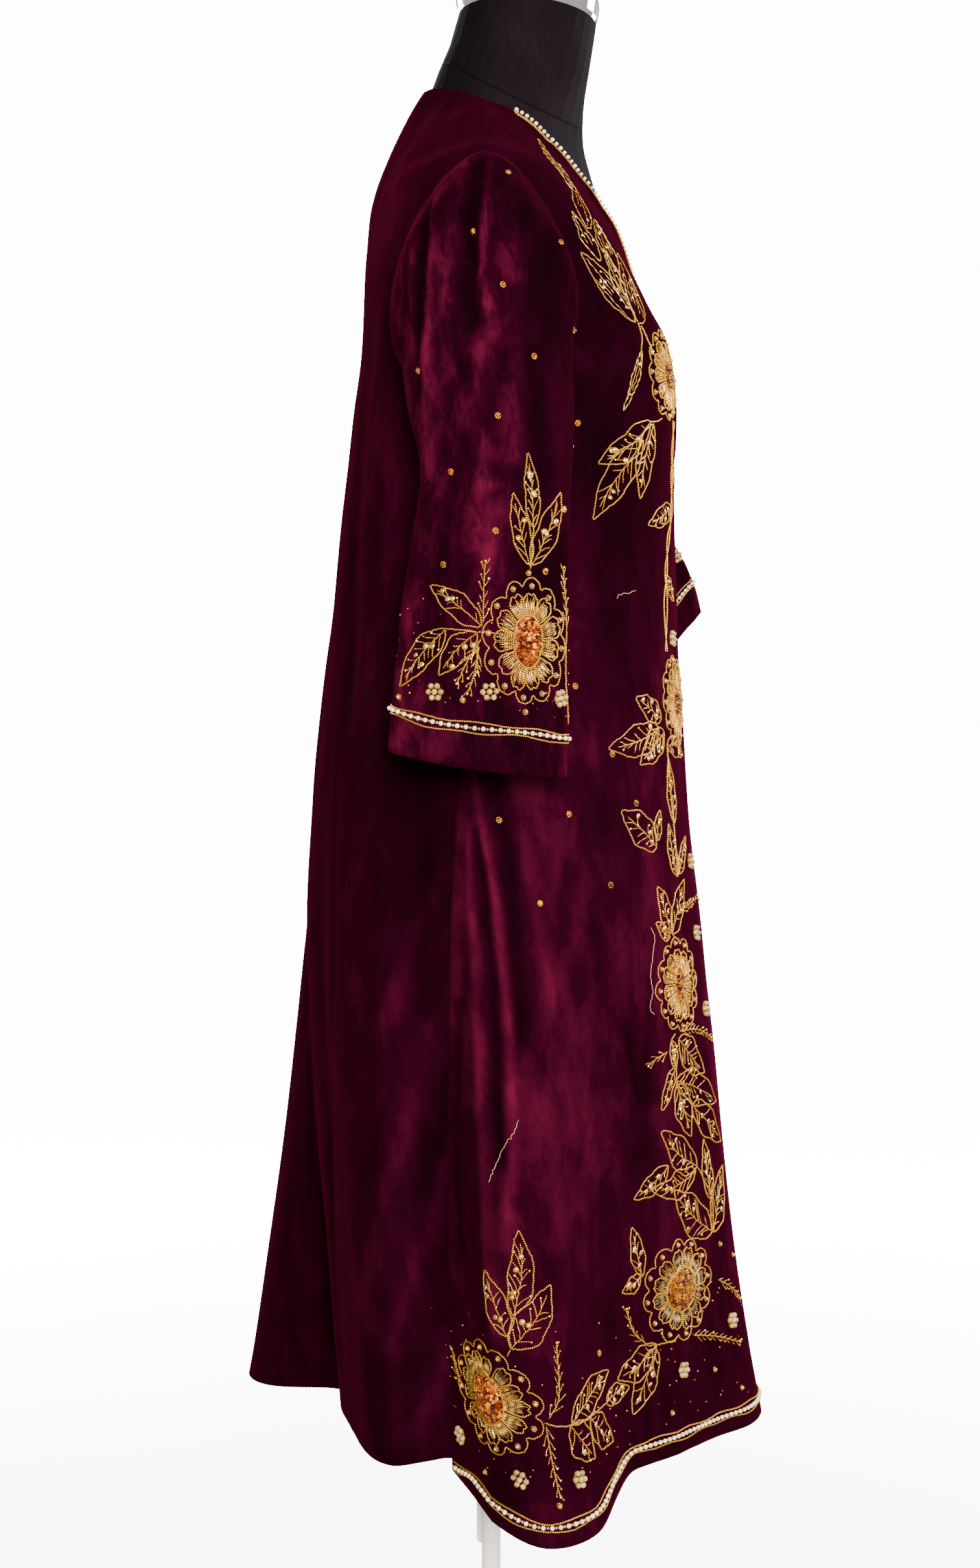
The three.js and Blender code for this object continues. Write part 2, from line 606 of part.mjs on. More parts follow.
// ---------------------------------------------------------------- dress form and stand
// Closed body through rings of points, lowest ring first, each with the same number of points.
function loft(rings) {
  const count = rings[0].length;
  const corners = rings.flat();
  const triangles = [];
  for (let ring = 0; ring < rings.length - 1; ring += 1) {
    for (let i = 0; i < count; i += 1) {
      const next = (i + 1) % count;
      const [a, b] = [ring * count + i, ring * count + next];
      triangles.push([a, a + count, b], [b, a + count, b + count]);
    }
  }
  const middleOf = (ring) => ring.reduce((sum, point) => sum.add(point), new THREE.Vector3())
    .divideScalar(count);
  const bottom = corners.push(middleOf(rings[0])) - 1;
  const top = corners.push(middleOf(rings[rings.length - 1])) - 1;
  const topStart = (rings.length - 1) * count;
  for (let i = 0; i < count; i += 1) {
    const next = (i + 1) % count;
    triangles.push([bottom, i, next], [top, topStart + next, topStart + i]);
  }
  return shapeOf(corners, triangles);
}

function formRing(level, z, proud = 0, lift = 0) {
  const neckTop = FORM[FORM.length - 1];
  return Array.from({ length: FORM_COLUMNS }, (_, i) => {
    const angle = (360 * i) / FORM_COLUMNS;
    const wider = {
      ...level,
      side: level.side + proud,
      front: level.front + proud,
      back: level.back + proud,
    };
    const { right, ahead } = ovalPoint(wider, angle);
    const tilt = z >= neckTop.z ? (level.front - ahead) * NECK_CUT_SLOPE : 0;
    return new THREE.Vector3(-right, -ahead, z + tilt + lift);
  });
}

function makeForm() {
  const halfway = FORM.slice(1).map((row, i) => (row.z + FORM[i].z) / 2);
  const levels = [...FORM.map((row) => row.z), ...halfway.filter((z) => z < NECK_POINT_Z)];
  return loft(levels.sort((a, b) => a - b).map((z) => formRing(formLevel(z), z)));
}

function makeCap() {
  const neckTop = FORM[FORM.length - 1];
  return loft(CAP.map(({ rise, proud }) => formRing(neckTop, neckTop.z, proud, rise)));
}

const poleTop = FORM[0].z - GAP - FLANGE.thickness - GAP;

function standing(geometry, bottom, height) {
  return geometry.rotateX(Math.PI / 2).translate(0, 0, bottom + height / 2);
}

function makePole() {
  const bottom = BASE.thickness + GAP;
  const height = poleTop - bottom;
  return standing(new THREE.CylinderGeometry(POLE_RADIUS, POLE_RADIUS, height, 24), bottom, height);
}

function makeFlange() {
  const bottom = poleTop + GAP;
  const { radius, thickness } = FLANGE;
  return standing(new THREE.CylinderGeometry(radius, radius - 4, thickness, 32), bottom, thickness);
}

// Round base with a hub, and a well in the hub for the pole.
function makeBase() {
  const { radius, thickness, hubRadius, hubHeight } = BASE;
  const well = POLE_RADIUS + GAP;
  const profile = [
    [0, 0],
    [radius - 1, 0],
    [radius, 1],
    [radius, thickness - 3],
    [radius - 4, thickness],
    [hubRadius + 3, thickness],
    [hubRadius, thickness + 3],
    [hubRadius - 2, hubHeight],
    [well, hubHeight],
    [well, thickness],
    [0, thickness],
  ].map(([reach, height]) => new THREE.Vector2(reach, height));
  return new THREE.LatheGeometry(profile, 32).rotateX(Math.PI / 2);
}

// Flat tab with a round end that hangs beside the pole, on the wearer's left.
function makeTab() {
  const half = TAB.width / 2;
  const outline = new THREE.Shape();
  outline.moveTo(-half, TAB.top);
  outline.lineTo(-half, TAB.bottom + half);
  outline.absarc(0, TAB.bottom + half, half, Math.PI, 2 * Math.PI, false);
  outline.lineTo(half, TAB.top);
  const tab = new THREE.ExtrudeGeometry(outline, { depth: TAB.depth, bevelEnabled: false, curveSegments: 6 });
  tab.rotateX(Math.PI / 2).rotateZ(Math.PI / 2);
  return tab.translate(POLE_RADIUS + GAP, TAB.behind, 0);
}

// ---------------------------------------------------------------- the part
const part = new THREE.Group();

function add(name, geometry, finish) {
  const mesh = new THREE.Mesh(geometry, new THREE.MeshStandardMaterial(finish));
  mesh.name = name;
  part.add(mesh);
}

add('front', wall(front.sheet, -CLOTH, 0), velvet);
add('back', wall(back.sheet, -CLOTH, 0), velvet);

const onPanel = (piece) => wall(piece, BAND_LIFT, BAND_LIFT + BAND_THICKNESS);
const allColumns = { from: 0, to: Infinity };
const frontGrids = [front.halves.right, front.halves.left];
add('hem_band', onPanel(patch(front.sheet, frontGrids, { from: 1, to: 2 }, allColumns)), goldWork);

const frontLayer = reliefLayer(front.sheet);
for (const [sideName, side] of [['right', 1], ['left', -1]]) {
  const sleeve = sleeves[sideName];
  add(`sleeve_${sideName}`, wall(sleeve.sheet, -CLOTH, 0), velvet);

  const neckRows = { from: frontSplit, to: frontRows.length - 2 };
  const neckPatch = patch(front.sheet, [front.halves[sideName]], neckRows, { from: 0, to: 1 });
  add(`neck_band_${sideName}`, onPanel(neckPatch), goldWork);

  const cuffRows = { from: sleeve.grid.length - 3, to: sleeve.grid.length - 2 };
  const cuffPatch = patch(sleeve.sheet, [sleeve.grid], cuffRows, allColumns);
  add(`cuff_band_${sideName}`, onPanel(cuffPatch), goldWork);

  for (const { name, angle, z, radius } of FLOWERS) {
    const spot = [side * angle, z];
    add(`${name}_${sideName}`, flower(frontLayer, radius, bodyPoint(...spot), bodyNormal(...spot)), goldWork);
  }
  const { turn, down, radius } = CUFF_FLOWER;
  const cuffLayer = reliefLayer(sleeve.sheet);
  const spot = [turn, down[sideName]];
  const bloom = flower(cuffLayer, radius, sleeve.point(...spot), sleeve.outward(...spot));
  add(`cuff_flower_${sideName}`, bloom, goldWork);
}

add('form', makeForm(), blackCover);
add('neck_cap', makeCap(), polished);
add('flange', makeFlange(), whitePaint);
add('pole', makePole(), whitePaint);
add('pole_tab', makeTab(), whitePaint);
add('base', makeBase(), whitePaint);

export default part;
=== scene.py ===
"""Velvet kaftan on a limbless dress form: the cloth, its embroidery, the form and the stand.

Lengths in the tables are millimetres. The garment faces -Y and the wearer's right is -X.
Angles go round the pole in degrees: 0 at the centre front, positive to the wearer's right.
"""
import math

import bmesh
import bpy
import numpy as np
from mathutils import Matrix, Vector


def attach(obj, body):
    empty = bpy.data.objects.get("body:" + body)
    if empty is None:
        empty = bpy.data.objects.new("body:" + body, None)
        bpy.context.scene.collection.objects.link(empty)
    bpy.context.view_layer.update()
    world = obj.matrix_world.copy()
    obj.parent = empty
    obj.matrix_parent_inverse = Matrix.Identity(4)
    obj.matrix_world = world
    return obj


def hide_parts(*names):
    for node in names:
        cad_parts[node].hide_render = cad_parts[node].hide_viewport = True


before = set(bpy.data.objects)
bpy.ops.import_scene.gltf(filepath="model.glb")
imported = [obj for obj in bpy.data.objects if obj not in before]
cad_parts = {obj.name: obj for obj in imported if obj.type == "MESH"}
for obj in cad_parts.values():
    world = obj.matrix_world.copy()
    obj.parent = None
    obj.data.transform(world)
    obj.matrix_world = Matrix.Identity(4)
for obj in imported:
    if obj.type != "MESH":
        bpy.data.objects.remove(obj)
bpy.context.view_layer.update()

MM = 0.001
rng = np.random.default_rng(11)

# ---------------------------------------------------------------- driving sizes
CLOTH_THICKNESS = 2.0         # pile velvet with its backing
SEAM_DIP = 1.2                # the cloth sinks this far along its side seams
SEAM_DIP_WIDTH = 2.6
UNDERARM_Z = 1100.0
SHOULDER_Z = 1298.0
V_BOTTOM_Z = 1240.0
BACK_NECK_Z = 1400.0
SHOULDER_LINE = -4.0          # how far ahead of the pole the shoulder seam lies
HEM_Z = 275.0
HEM_BAND_RISE = 15.0          # middle of the beaded band above the front hem
CUFF_BAND_RISE = {"right": 30.0, "left": 34.0}    # the same above each cuff
NECK_ROLL = 3.5               # how far the beaded edge of the V stands off the form
FOLD_GROWTH = 1.4             # above 1, a fold opens faster towards the hem
SKIRT_DEGREE = math.radians(1) * 190.0    # length of one degree round the skirt

# Level sections of the body: half width, reach ahead of and behind the pole,
# how far ahead the widest line lies, and squareness (2 is an ellipse).
BODY = {
    "z": [230, 300, 400, 500, 600, 700, 800, 894, 956, 1011, 1067, 1122, 1172, 1206, 1244, 1272,
          1298, 1320, 1340, 1358, 1372, 1386, 1400, 1410],
    "side": [181, 187, 197, 205, 209, 211, 210, 199, 189, 183, 181, 180, 182, 184, 187, 188,
             185, 155, 126, 100, 80, 69, 60, 53],
    "front": [244, 230, 213, 200, 189, 176, 166, 160, 157, 155, 154, 156, 150.5, 134, 117.5, 107,
              95, 87, 80, 77, 76, 76, 74, 72],
    "back": [127, 131, 139, 146, 152, 155, 150, 141.5, 134, 129, 122, 115.5, 109.5, 108, 107, 105.5,
             103.5, 98.5, 91, 83, 76, 68.5, 60, 54],
    "mid": [0, 0, 0, 0, 0, 0, 0, -1, -2, -3, -4, -4, -4, -4, -4, -4, -4, -4, -4, -4, -4, -4, -4, -4],
    "square": [2.2, 2.2, 2.2, 2.2, 2.2, 2.2, 2.2, 2.25, 2.3, 2.4, 2.5, 2.6, 2.6, 2.5, 2.1, 1.75,
               1.5, 1.38, 1.38, 1.4, 1.45, 1.55, 1.7, 1.7],
}

# Folds of the skirt: height each starts from, angle there and at the hem, reach at the hem,
# and width before and after its middle.
FOLDS = [
    ("front dip right", 900, 40, 34, -29, 22, 20),
    ("side front fold right", 900, 90, 83, 86, 13, 11),
    ("seam tuck right", 760, 101, 105.5, -9, 5, 4),
    ("side back fold right", 800, 124, 121, 23, 7, 16),
    ("back tuck", 800, 178, 177, -16, 10, 8),
    ("back fold left", 880, -150, -158, 110, 17, 20),
    ("side back fold left", 780, -120, -122, 26, 11, 8),
    ("seam tuck left", 760, -100, -105, -8, 4, 6),
    ("side front fold left", 900, -88, -80, 72, 11, 14),
    ("front dip left", 900, -42, -38, -24, 20, 22),
]

# Soft creases of the velvet: angle and height of the top and the foot, width, and reach out.
CREASES = [
    ("front side ridge", 76, 830, 70, 560, 24, 3.4),
    ("front side hollow", 60, 820, 54, 460, 26, -3.0),
    ("front edge ridge", 45, 760, 44, 420, 12, 3.2),
    ("back side hollow", 112, 880, 110, 520, 12, -2.4),
    ("back broad ridge", 132, 900, 136, 420, 22, 3.0),
    ("back hollow", 150, 860, 152, 360, 18, -3.2),
    ("back far ridge", 166, 900, 168, 480, 16, 2.6),
    ("upper back ridge", 128, 1120, 126, 820, 20, 2.4),
    ("upper back hollow", 144, 1180, 140, 860, 20, -2.4),
    ("side under arm", 84, 1090, 80, 860, 12, 2.4),
    ("front waist hollow", 58, 1120, 56, 900, 20, -2.2),
    ("left side ridge", -97, 838, -92, 640, 10, 3.2),
    ("left side trough", -90, 838, -84, 560, 10, -3.4),
    ("left front ridge", -72, 830, -66, 540, 22, 3.2),
    ("left front hollow", -56, 800, -52, 460, 24, -2.8),
    ("left front edge", -45, 760, -44, 420, 13, 3.0),
    ("left back hollow", -112, 860, -110, 500, 14, -2.6),
    ("left back ridge", -134, 900, -136, 420, 20, 3.0),
    ("left back crease", -172, 860, -174, 420, 14, -2.8),
    ("chest fold right", 52, 1180, 46, 1010, 16, 1.6),
    ("chest fold left", -50, 1170, -46, 1000, 16, 1.6),
    ("front middle fold", 6, 1120, 3, 560, 20, 2.2),
    ("front middle hollow", -14, 1060, -16, 480, 18, -2.0),
]

# Lines of the velvet on the flat cloth: the path, its width at each end, how much lighter
# (or darker) the pile is painted there, as painted highlights along ridges and glows and painted
# shade in clefts and shaded patches, and how far it stands up (or sinks).
# The front is measured from its centre line, the back from its own (wearer's right is minus),
# a sleeve from its outer line (ahead is plus) and up from the cuff.
FRONT_LINES = [
    ("side ridge", [(314, 830), (312, 771), (309, 718), (309, 652), (315, 585), (323, 520),
                    (334, 470)], 4, 7, 1.0, 3.0),
    ("cleft ahead", [(298, 820), (296, 775), (295, 728), (296, 660), (299, 620)], 7.5, 6, -1.2, -3.2),
    ("cleft behind", [(318, 775), (316, 737), (318, 700), (320, 650), (325, 590), (329, 530)],
     4, 6, -1.2, -3.2),
    ("second ridge", [(321, 775), (327, 740), (330, 694), (335, 640), (340, 584), (346, 520),
                      (352, 450), (352, 410)], 3.5, 9, 1.0, 2.2),
    ("rear glow", [(340, 720), (347, 690), (352, 655), (358, 630)], 7, 8, 0.6, 1.0),
    ("seam shade", [(352, 645), (362, 605), (372, 560), (384, 510), (390, 460)], 5, 6, -1.0, -1.8),
    ("fore ridge", [(285, 810), (280, 770), (279, 723), (275, 680), (273, 650)], 7, 10, 0.55, 1.4),
    ("front glow", [(206, 745), (197, 700), (207, 655), (222, 625)], 20, 24, 0.5, 0.8),
    ("front nick", [(228, 717), (223, 690), (223, 664)], 4, 4, -0.5, -1.2),
    ("front shade", [(246, 752), (254, 715), (252, 678), (243, 636)], 6, 8, -0.55, -1.4),
    ("shade patch", [(291, 640), (290, 600)], 10, 10, -0.5, 0),
    ("deep nick", [(196, 622), (192, 594), (185, 566)], 6, 5, -0.9, -2.0),
    ("low glow", [(295, 568), (250, 557), (212, 566)], 24, 24, 0.45, 0),
    ("low shade", [(300, 450), (268, 420), (236, 392)], 26, 22, -0.5, 0),
    ("front fold", [(165, 705), (171, 633), (178, 570), (186, 520)], 6, 8, -0.45, -1.2),
    ("belly glow", [(236, 832), (205, 842)], 14, 14, 0.45, 0),
    ("chest glow", [(202, 1140), (188, 1128), (178, 1142)], 8, 8, 0.4, 0.6),
    ("chest shade", [(184, 1190), (186, 1090), (164, 1030), (166, 960), (178, 880)], 34, 36, -0.4, 0),
    ("waist line", [(232, 1010), (228, 940), (238, 880)], 7, 9, 0.3, 1.0),
    ("middle line", [(24, 1080), (20, 960), (28, 820), (22, 660)], 9, 12, -0.5, -1.4),
    ("middle glow", [(42, 900), (38, 780), (44, 640), (40, 500)], 10, 14, 0.5, 1.2),
]
BACK_LINES = [
    ("shade under cuff", [(-228, 815), (-244, 765), (-240, 725)], 24, 24, -0.55, -1.2),
    ("crossing glow", [(-246, 727), (-237, 702), (-228, 668), (-214, 630)], 8, 11, 0.75, 1.2),
    ("long glow", [(-246, 625), (-235, 568), (-219, 525), (-205, 485), (-192, 446), (-178, 410),
                   (-198, 380)], 10, 16, 0.8, 1.6),
    ("side glow", [(-254, 520), (-243, 478), (-227, 440), (-212, 400)], 8, 10, 0.75, 1.2),
    ("seam glow", [(-250, 385), (-237, 342), (-220, 312)], 10, 10, 0.8, 0),
    ("between shade", [(-262, 590), (-254, 545), (-240, 500)], 6, 6, -0.7, -1.2),
    ("far crease", [(-126, 827), (-140, 740), (-143, 662), (-123, 583), (-96, 500), (-88, 420),
                    (-89, 340)], 6, 8, -0.9, -0.8),
    ("fold ridge", [(-70, 690), (20, 600), (36, 505), (32, 366), (24, 320)], 10, 12, 0.5, 1.4),
    ("fold line", [(-30, 560), (-4, 460), (-2, 340)], 6, 7, -0.45, -1.4),
    ("shoulder glow", [(-60, 1370), (-95, 1300), (-120, 1250)], 16, 22, 0.4, 0),
    ("blade line", [(-138, 1190), (-134, 1090), (-138, 980), (-170, 870)], 12, 16, 0.35, 1.2),
    ("blade shade", [(-112, 1180), (-104, 1060), (-108, 930)], 14, 18, -0.45, -1.2),
    ("spine shade", [(6, 1250), (-4, 1080), (2, 900)], 12, 16, -0.4, -1.4),
    ("left glow", [(150, 1120), (160, 940), (196, 760), (214, 560), (206, 420)], 12, 20, 0.5, 1.6),
    ("left shade", [(120, 1000), (138, 820), (160, 640), (158, 470)], 12, 15, -0.55, -1.6),
    ("left seam glow", [(262, 680), (246, 540), (236, 400)], 8, 12, 0.5, 1.2),
]
SLEEVE_LINES = [
    ("rear line", [(-64, 445), (-68, 383), (-75, 329), (-80, 300)], 4, 4, 0.55, 0.8),
    ("rear cleft", [(-52, 455), (-56, 400), (-62, 350), (-65, 300), (-68, 272)], 5, 5, -1.1, -3.2),
    ("rear edge", [(-42, 448), (-47, 395), (-54, 345), (-58, 300)], 4, 7, 0.9, 1.8),
    ("rear band", [(-57, 315), (-59, 257), (-60, 200), (-53, 150), (-60, 100)], 8, 12, 0.85, 1.8),
    ("rear patch", [(-34, 356), (-42, 325), (-47, 305)], 9, 12, 0.4, 0),
    ("main cleft", [(-6, 487), (-12, 440), (-17, 400), (-17, 360), (-14, 332)], 7, 9, -1.0, -3.6),
    ("main edge", [(3, 490), (1, 440), (-2, 405), (-6, 371)], 2.6, 3, 1.1, 1.8),
    ("main edge foot", [(-6, 368), (-3, 350), (-1, 328)], 4, 7, 0.8, 1.2),
    ("left edge", [(-16, 480), (-20, 446), (-23, 421), (-21, 400)], 4, 4, 0.55, 1.2),
    ("beside edge", [(10, 485), (8, 440), (6, 400), (4, 378)], 6, 6, -0.55, -1.4),
    ("middle band", [(-10, 332), (-11, 300), (-14, 262), (-13, 234), (-7, 200), (0, 165)],
     5, 13, 0.8, 1.6),
    ("fore band", [(21, 405), (21, 353), (19, 307), (13, 280), (16, 239)], 8, 10, 0.6, 0.9),
    ("front band", [(45, 352), (44, 320), (49, 290), (55, 250), (58, 195)], 7, 9, 0.5, 0.9),
    ("front shade", [(30, 445), (50, 400), (64, 350)], 28, 26, -0.5, 0),
    ("elbow shade", [(-29, 312), (-26, 292), (-36, 262), (-33, 230)], 9, 11, -0.6, -1.6),
    ("middle shade", [(4, 312), (3, 275), (1, 240), (7, 205)], 8, 9, -0.6, -1.2),
    ("fore shade", [(29, 308), (33, 270), (36, 230)], 9, 10, -0.45, -0.9),
    ("low line", [(2, 190), (-2, 165), (-1, 145)], 6, 6, 0.6, 1.0),
    ("low shade", [(-26, 205), (-24, 160), (-20, 120)], 10, 12, -0.35, -1.0),
    ("wrist glow", [(-68, 60), (-62, 22), (-70, 4)], 9, 12, 0.7, 1.0),
    ("inner shade", [(120, 330), (128, 230), (124, 110)], 18, 24, -0.5, -2.0),
    ("inner glow", [(-118, 320), (-124, 220), (-128, 90)], 12, 16, 0.35, 1.6),
    ("under line", [(150, 280), (144, 190), (150, 60)], 10, 12, 0.4, 1.4),
]

SIDE_SEAM = {"z": [260, 500, 800, 950, 1100], "angle": [104, 103, 100, 95, 90]}
FRONT_HEM = {
    "angle": [-104, -92, -80, -62, -40, 0, 45, 62, 70, 76, 83, 92, 104],
    "z": [273, 264, 261, 272, 277, 275, 277, 279, 268, 256, 254, 267, 280],
}
BACK_HEM = {
    "angle": [104, 122, 138, 165, 180, 196, 210, 236, 256],
    "z": [289, 286, 287, 299, 293, 277, 281, 288, 289],
}
FRONT_NECK = {"row": range(8), "z": [1240, 1257, 1274, 1293, 1312, 1332, 1355, 1372],
              "angle": [0, 4, 8.5, 15, 23, 36, 60, 90]}
BACK_NECK = {"row": range(4), "z": [1400, 1396, 1387, 1372], "angle": [180, 145, 115, 90]}
ARMHOLE = {"ahead": 68, "behind": -76, "sag": 12}
# Rows from the under-arm to the shoulder, and how many of them start from the centre line;
# the others start from the neckline.
ARMHOLE_ROWS = 12
STRAIGHT_ROWS = {"front": 5, "back": 9}

# Sleeve rings, from the head to the cuff: distance out from the middle of the body, distance
# ahead, height, half depth and its tilt, half thickness and its lean, and squareness.
RING_NAMES = ("out", "ahead", "z", "reach", "tilt", "puff", "lean", "square")
SLEEVES = {
    "right": [
        (204, -5, 1175, 71, 0, 81.5, 76, 1.9),
        (215, -3, 1137, 66, 0, 67.5, 65, 1.8),
        (222.5, 0, 1093, 63, 0, 54.5, 52, 1.7),
        (228.5, 3, 1045, 57, 0, 43.5, 35, 1.6),
        (234.5, -1, 994, 58.5, -1, 38, 17, 1.5),
        (241.5, -5, 942, 61.5, -3, 36.5, 4, 1.5),
        (250.5, -8, 883, 64, -6, 35.5, -3, 1.5),
        (260, -10.5, 826, 66.5, -8, 35.5, -8, 1.5),
    ],
    "left": [
        (204, -2, 1172, 71, 8, 81, 75, 1.9),
        (215, 17, 1138, 69, 17, 66, 62, 1.8),
        (221, 42, 1103, 67, 25, 54, 47, 1.7),
        (225, 68, 1068, 67, 32, 45, 30, 1.65),
        (227, 95, 1032, 68, 38, 40, 15, 1.6),
        (226, 126, 992, 70, 43, 38, 4, 1.6),
        (222, 143, 954, 73, 47, 37, 0, 1.6),
        (217, 153, 918, 76, 50, 37, -2, 1.6),
    ],
}
SLEEVE_RINGS = len(SLEEVES["right"])
# Pleats of the sleeve head: angle round the sleeve from its top, and depth of the pleat.
PLEATS = [(15, 6), (45, 4), (-15, 7), (-45, 6), (-75, 4)]
PLEAT_WIDTH = 9      # degrees
PLEAT_LENGTH = 4.5   # rings
# Soft creases of a sleeve: turn from its top and rings down at each end, width, and reach.
SLEEVE_CREASES = [
    ("fore fold", 58, 0.6, 64, 5.0, 11, 1.8),
    ("elbow crease", -48, 4.3, 6, 5.1, 12, -2.0),
    ("elbow roll", -56, 4.9, 12, 5.8, 14, 2.0),
    ("lower drag", 4, 5.4, 22, 7.2, 12, 1.8),
    ("inner crease", 150, 2.0, 140, 4.4, 14, -3.0),
    ("inner roll", -150, 3.4, -140, 6.0, 14, 2.4),
    ("under crease", 180, 3.8, 170, 5.4, 14, -2.6),
]


# ---------------------------------------------------------------- curves and tables
def smooth_column(x, y):
    """Monotone cubic through the rows of one column, which never overshoots them."""
    x, y = np.asarray(list(x), float), np.asarray(y, float)
    steps = np.diff(x)
    slopes = np.diff(y) / steps
    bends = np.zeros_like(y)
    bends[0], bends[-1] = slopes[0], slopes[-1]
    before = 2 * steps[1:] + steps[:-1]
    after = steps[1:] + 2 * steps[:-1]
    with np.errstate(divide="ignore", invalid="ignore"):
        inner = (before + after) / (before / slopes[:-1] + after / slopes[1:])
    bends[1:-1] = np.where(slopes[:-1] * slopes[1:] > 0, inner, 0.0)

    def read(value):
        at = np.clip(value, x[0], x[-1])
        i = np.clip(np.searchsorted(x, at, side="right") - 1, 0, len(steps) - 1)
        t = (at - x[i]) / steps[i]
        rise = (3 - 2 * t) * t * t
        bend = steps[i] * t * (1 - t)
        return y[i] + (y[i + 1] - y[i]) * rise + bend * ((1 - t) * bends[i] - t * bends[i + 1])
    return read


def smooth_table(table, key):
    return {name: smooth_column(table[key], table[name]) for name in table if name != key}


body_level = smooth_table(BODY, "z")
seam_angle = smooth_table(SIDE_SEAM, "z")["angle"]
front_hem = smooth_table(FRONT_HEM, "angle")["z"]
back_hem = smooth_table(BACK_HEM, "angle")["z"]
front_neck = smooth_table(FRONT_NECK, "row")
back_neck = smooth_table(BACK_NECK, "row")


def wrapped(angle):
    return (angle + 540.0) % 360.0 - 180.0


def smooth_step(t):
    t = np.clip(t, 0.0, 1.0)
    return t * t * (3 - 2 * t)


def bell(away, width):
    """1 at the middle of a soft form, falling off with the distance from it."""
    return np.exp(-((away / width) ** 2))


def ripple(turns, y, hills, seed):
    """Smooth random height between -1 and 1 round a tube: hills to a turn, one to each unit of y."""
    rows = 64
    table = np.random.default_rng(seed).uniform(-1, 1, (hills, rows))
    x = turns * hills
    i, j = np.floor(x).astype(int), np.floor(y).astype(int)
    fx, fy = smooth_step(x - i), smooth_step(y - j)
    corner = [table[(i + di) % hills, (j + dj) % rows] for di in (0, 1) for dj in (0, 1)]
    low = corner[0] * (1 - fy) + corner[1] * fy
    high = corner[2] * (1 - fy) + corner[3] * fy
    return low * (1 - fx) + high * fx


def run_lengths(points, axis=0):
    """Distance run from the first point to each, along one way of a row or grid of points."""
    steps = np.linalg.norm(np.diff(points, axis=axis), axis=-1)
    return np.insert(np.cumsum(steps, axis=axis), 0, 0.0, axis=axis)


def arcs_round(points):
    """Distance round the cloth from the middle column of a grid of points."""
    arcs = run_lengths(points, axis=1)
    return arcs - arcs[:, [arcs.shape[1] // 2]]


def read_grid(table, row, column):
    """Value of a table between its rows and columns."""
    row = np.clip(row, 0, table.shape[0] - 1.001)
    column = np.clip(column, 0, table.shape[1] - 1.001)
    i, j = row.astype(int), column.astype(int)
    down, along = row - i, column - j
    low = table[i, j] * (1 - along) + table[i, j + 1] * along
    high = table[i + 1, j] * (1 - along) + table[i + 1, j + 1] * along
    return low * (1 - down) + high * down


def smooth_path(points, step):
    """Points along a smooth curve through the given ones, about a step apart."""
    points = np.asarray(points, float)
    if len(points) == 2:
        dense = points[0] + (points[1] - points[0]) * np.linspace(0, 1, 20)[:, None]
    else:
        ends = np.concatenate([[2 * points[0] - points[1]], points, [2 * points[-1] - points[-2]]])
        t = np.linspace(0, 1, 16, endpoint=False)[:, None]
        spans = []
        for p0, p1, p2, p3 in zip(ends[:-3], ends[1:-2], ends[2:-1], ends[3:]):
            spans.append(p1 + 0.5 * t * (p2 - p0 + t * (2 * p0 - 5 * p1 + 4 * p2 - p3
                                                       + t * (3 * (p1 - p2) + p3 - p0))))
        dense = np.concatenate([*spans, points[-1:]])
    lengths = run_lengths(dense)
    count = max(int(round(lengths[-1] / step)), 2)
    even = np.linspace(0, lengths[-1], count + 1)
    return np.stack([np.interp(even, lengths, dense[:, i]) for i in range(dense.shape[1])], axis=1)


def read_lines(lines, x, y):
    """Painted lightness (painted highlights and painted shade) and height that the lines give the flat
    places (x, y).
    """
    light, height = np.zeros(x.shape), np.zeros(x.shape)
    for _, path, start, end, lighter, rise in lines:
        dense = smooth_path(path, 3.0)
        reach = 3 * max(start, end)
        low, high = dense.min(axis=0) - reach, dense.max(axis=0) + reach
        near = (x > low[0]) & (x < high[0]) & (y > low[1]) & (y < high[1])
        apart = np.hypot(x[near][:, None] - dense[:, 0], y[near][:, None] - dense[:, 1])
        spot = np.argmin(apart, axis=1) if near.any() else []
        if not len(spot):
            continue
        width = start + (end - start) * spot / (len(dense) - 1)
        share = bell(apart[np.arange(len(spot)), spot], width)
        light[near] += lighter * share
        height[near] += rise * share
    return light, height


# ---------------------------------------------------------------- form of the body
def fold_reach(angle, z):
    """How far the deep folds of the skirt stand out."""
    total = np.zeros_like(angle + z)
    for _, start, top, hem, reach, before, after in FOLDS:
        fallen = np.maximum((start - z) / (start - HEM_Z), 0.0)
        away = wrapped(angle - (top + (hem - top) * fallen))
        width = np.where(away < 0, before, after)
        total += reach * fallen ** FOLD_GROWTH * bell(away, width)
    return total


def crease_reach(angle, z):
    """How far the soft creases, the uneven hang and the pull of the side seams move the cloth."""
    total = np.zeros_like(angle + z)
    for _, top_angle, top_z, foot_angle, foot_z, width, reach in CREASES:
        along = (top_z - z) / (top_z - foot_z)
        middle = top_angle + (foot_angle - top_angle) * along
        away = wrapped(angle - middle) * SKIRT_DEGREE
        fade = smooth_step((along + 0.25) / 0.5) * smooth_step((1.35 - along) / 0.6)
        total += reach * fade * bell(away, width)
    # The uneven hang of the cloth, in wide waves on the skirt and narrow ones all over.
    sway = smooth_step((1150 - z) / 500)
    total += 1.6 * sway * ripple(angle / 360, z / 170, 28, 5)
    total += 0.7 * ripple(angle / 360, z / 70, 60, 8)
    from_seam = (np.abs(wrapped(angle)) - seam_angle(z)) * SKIRT_DEGREE
    below = smooth_step((UNDERARM_Z - 4 - z) / 8)
    total -= SEAM_DIP * below * bell(from_seam, SEAM_DIP_WIDTH)
    return total


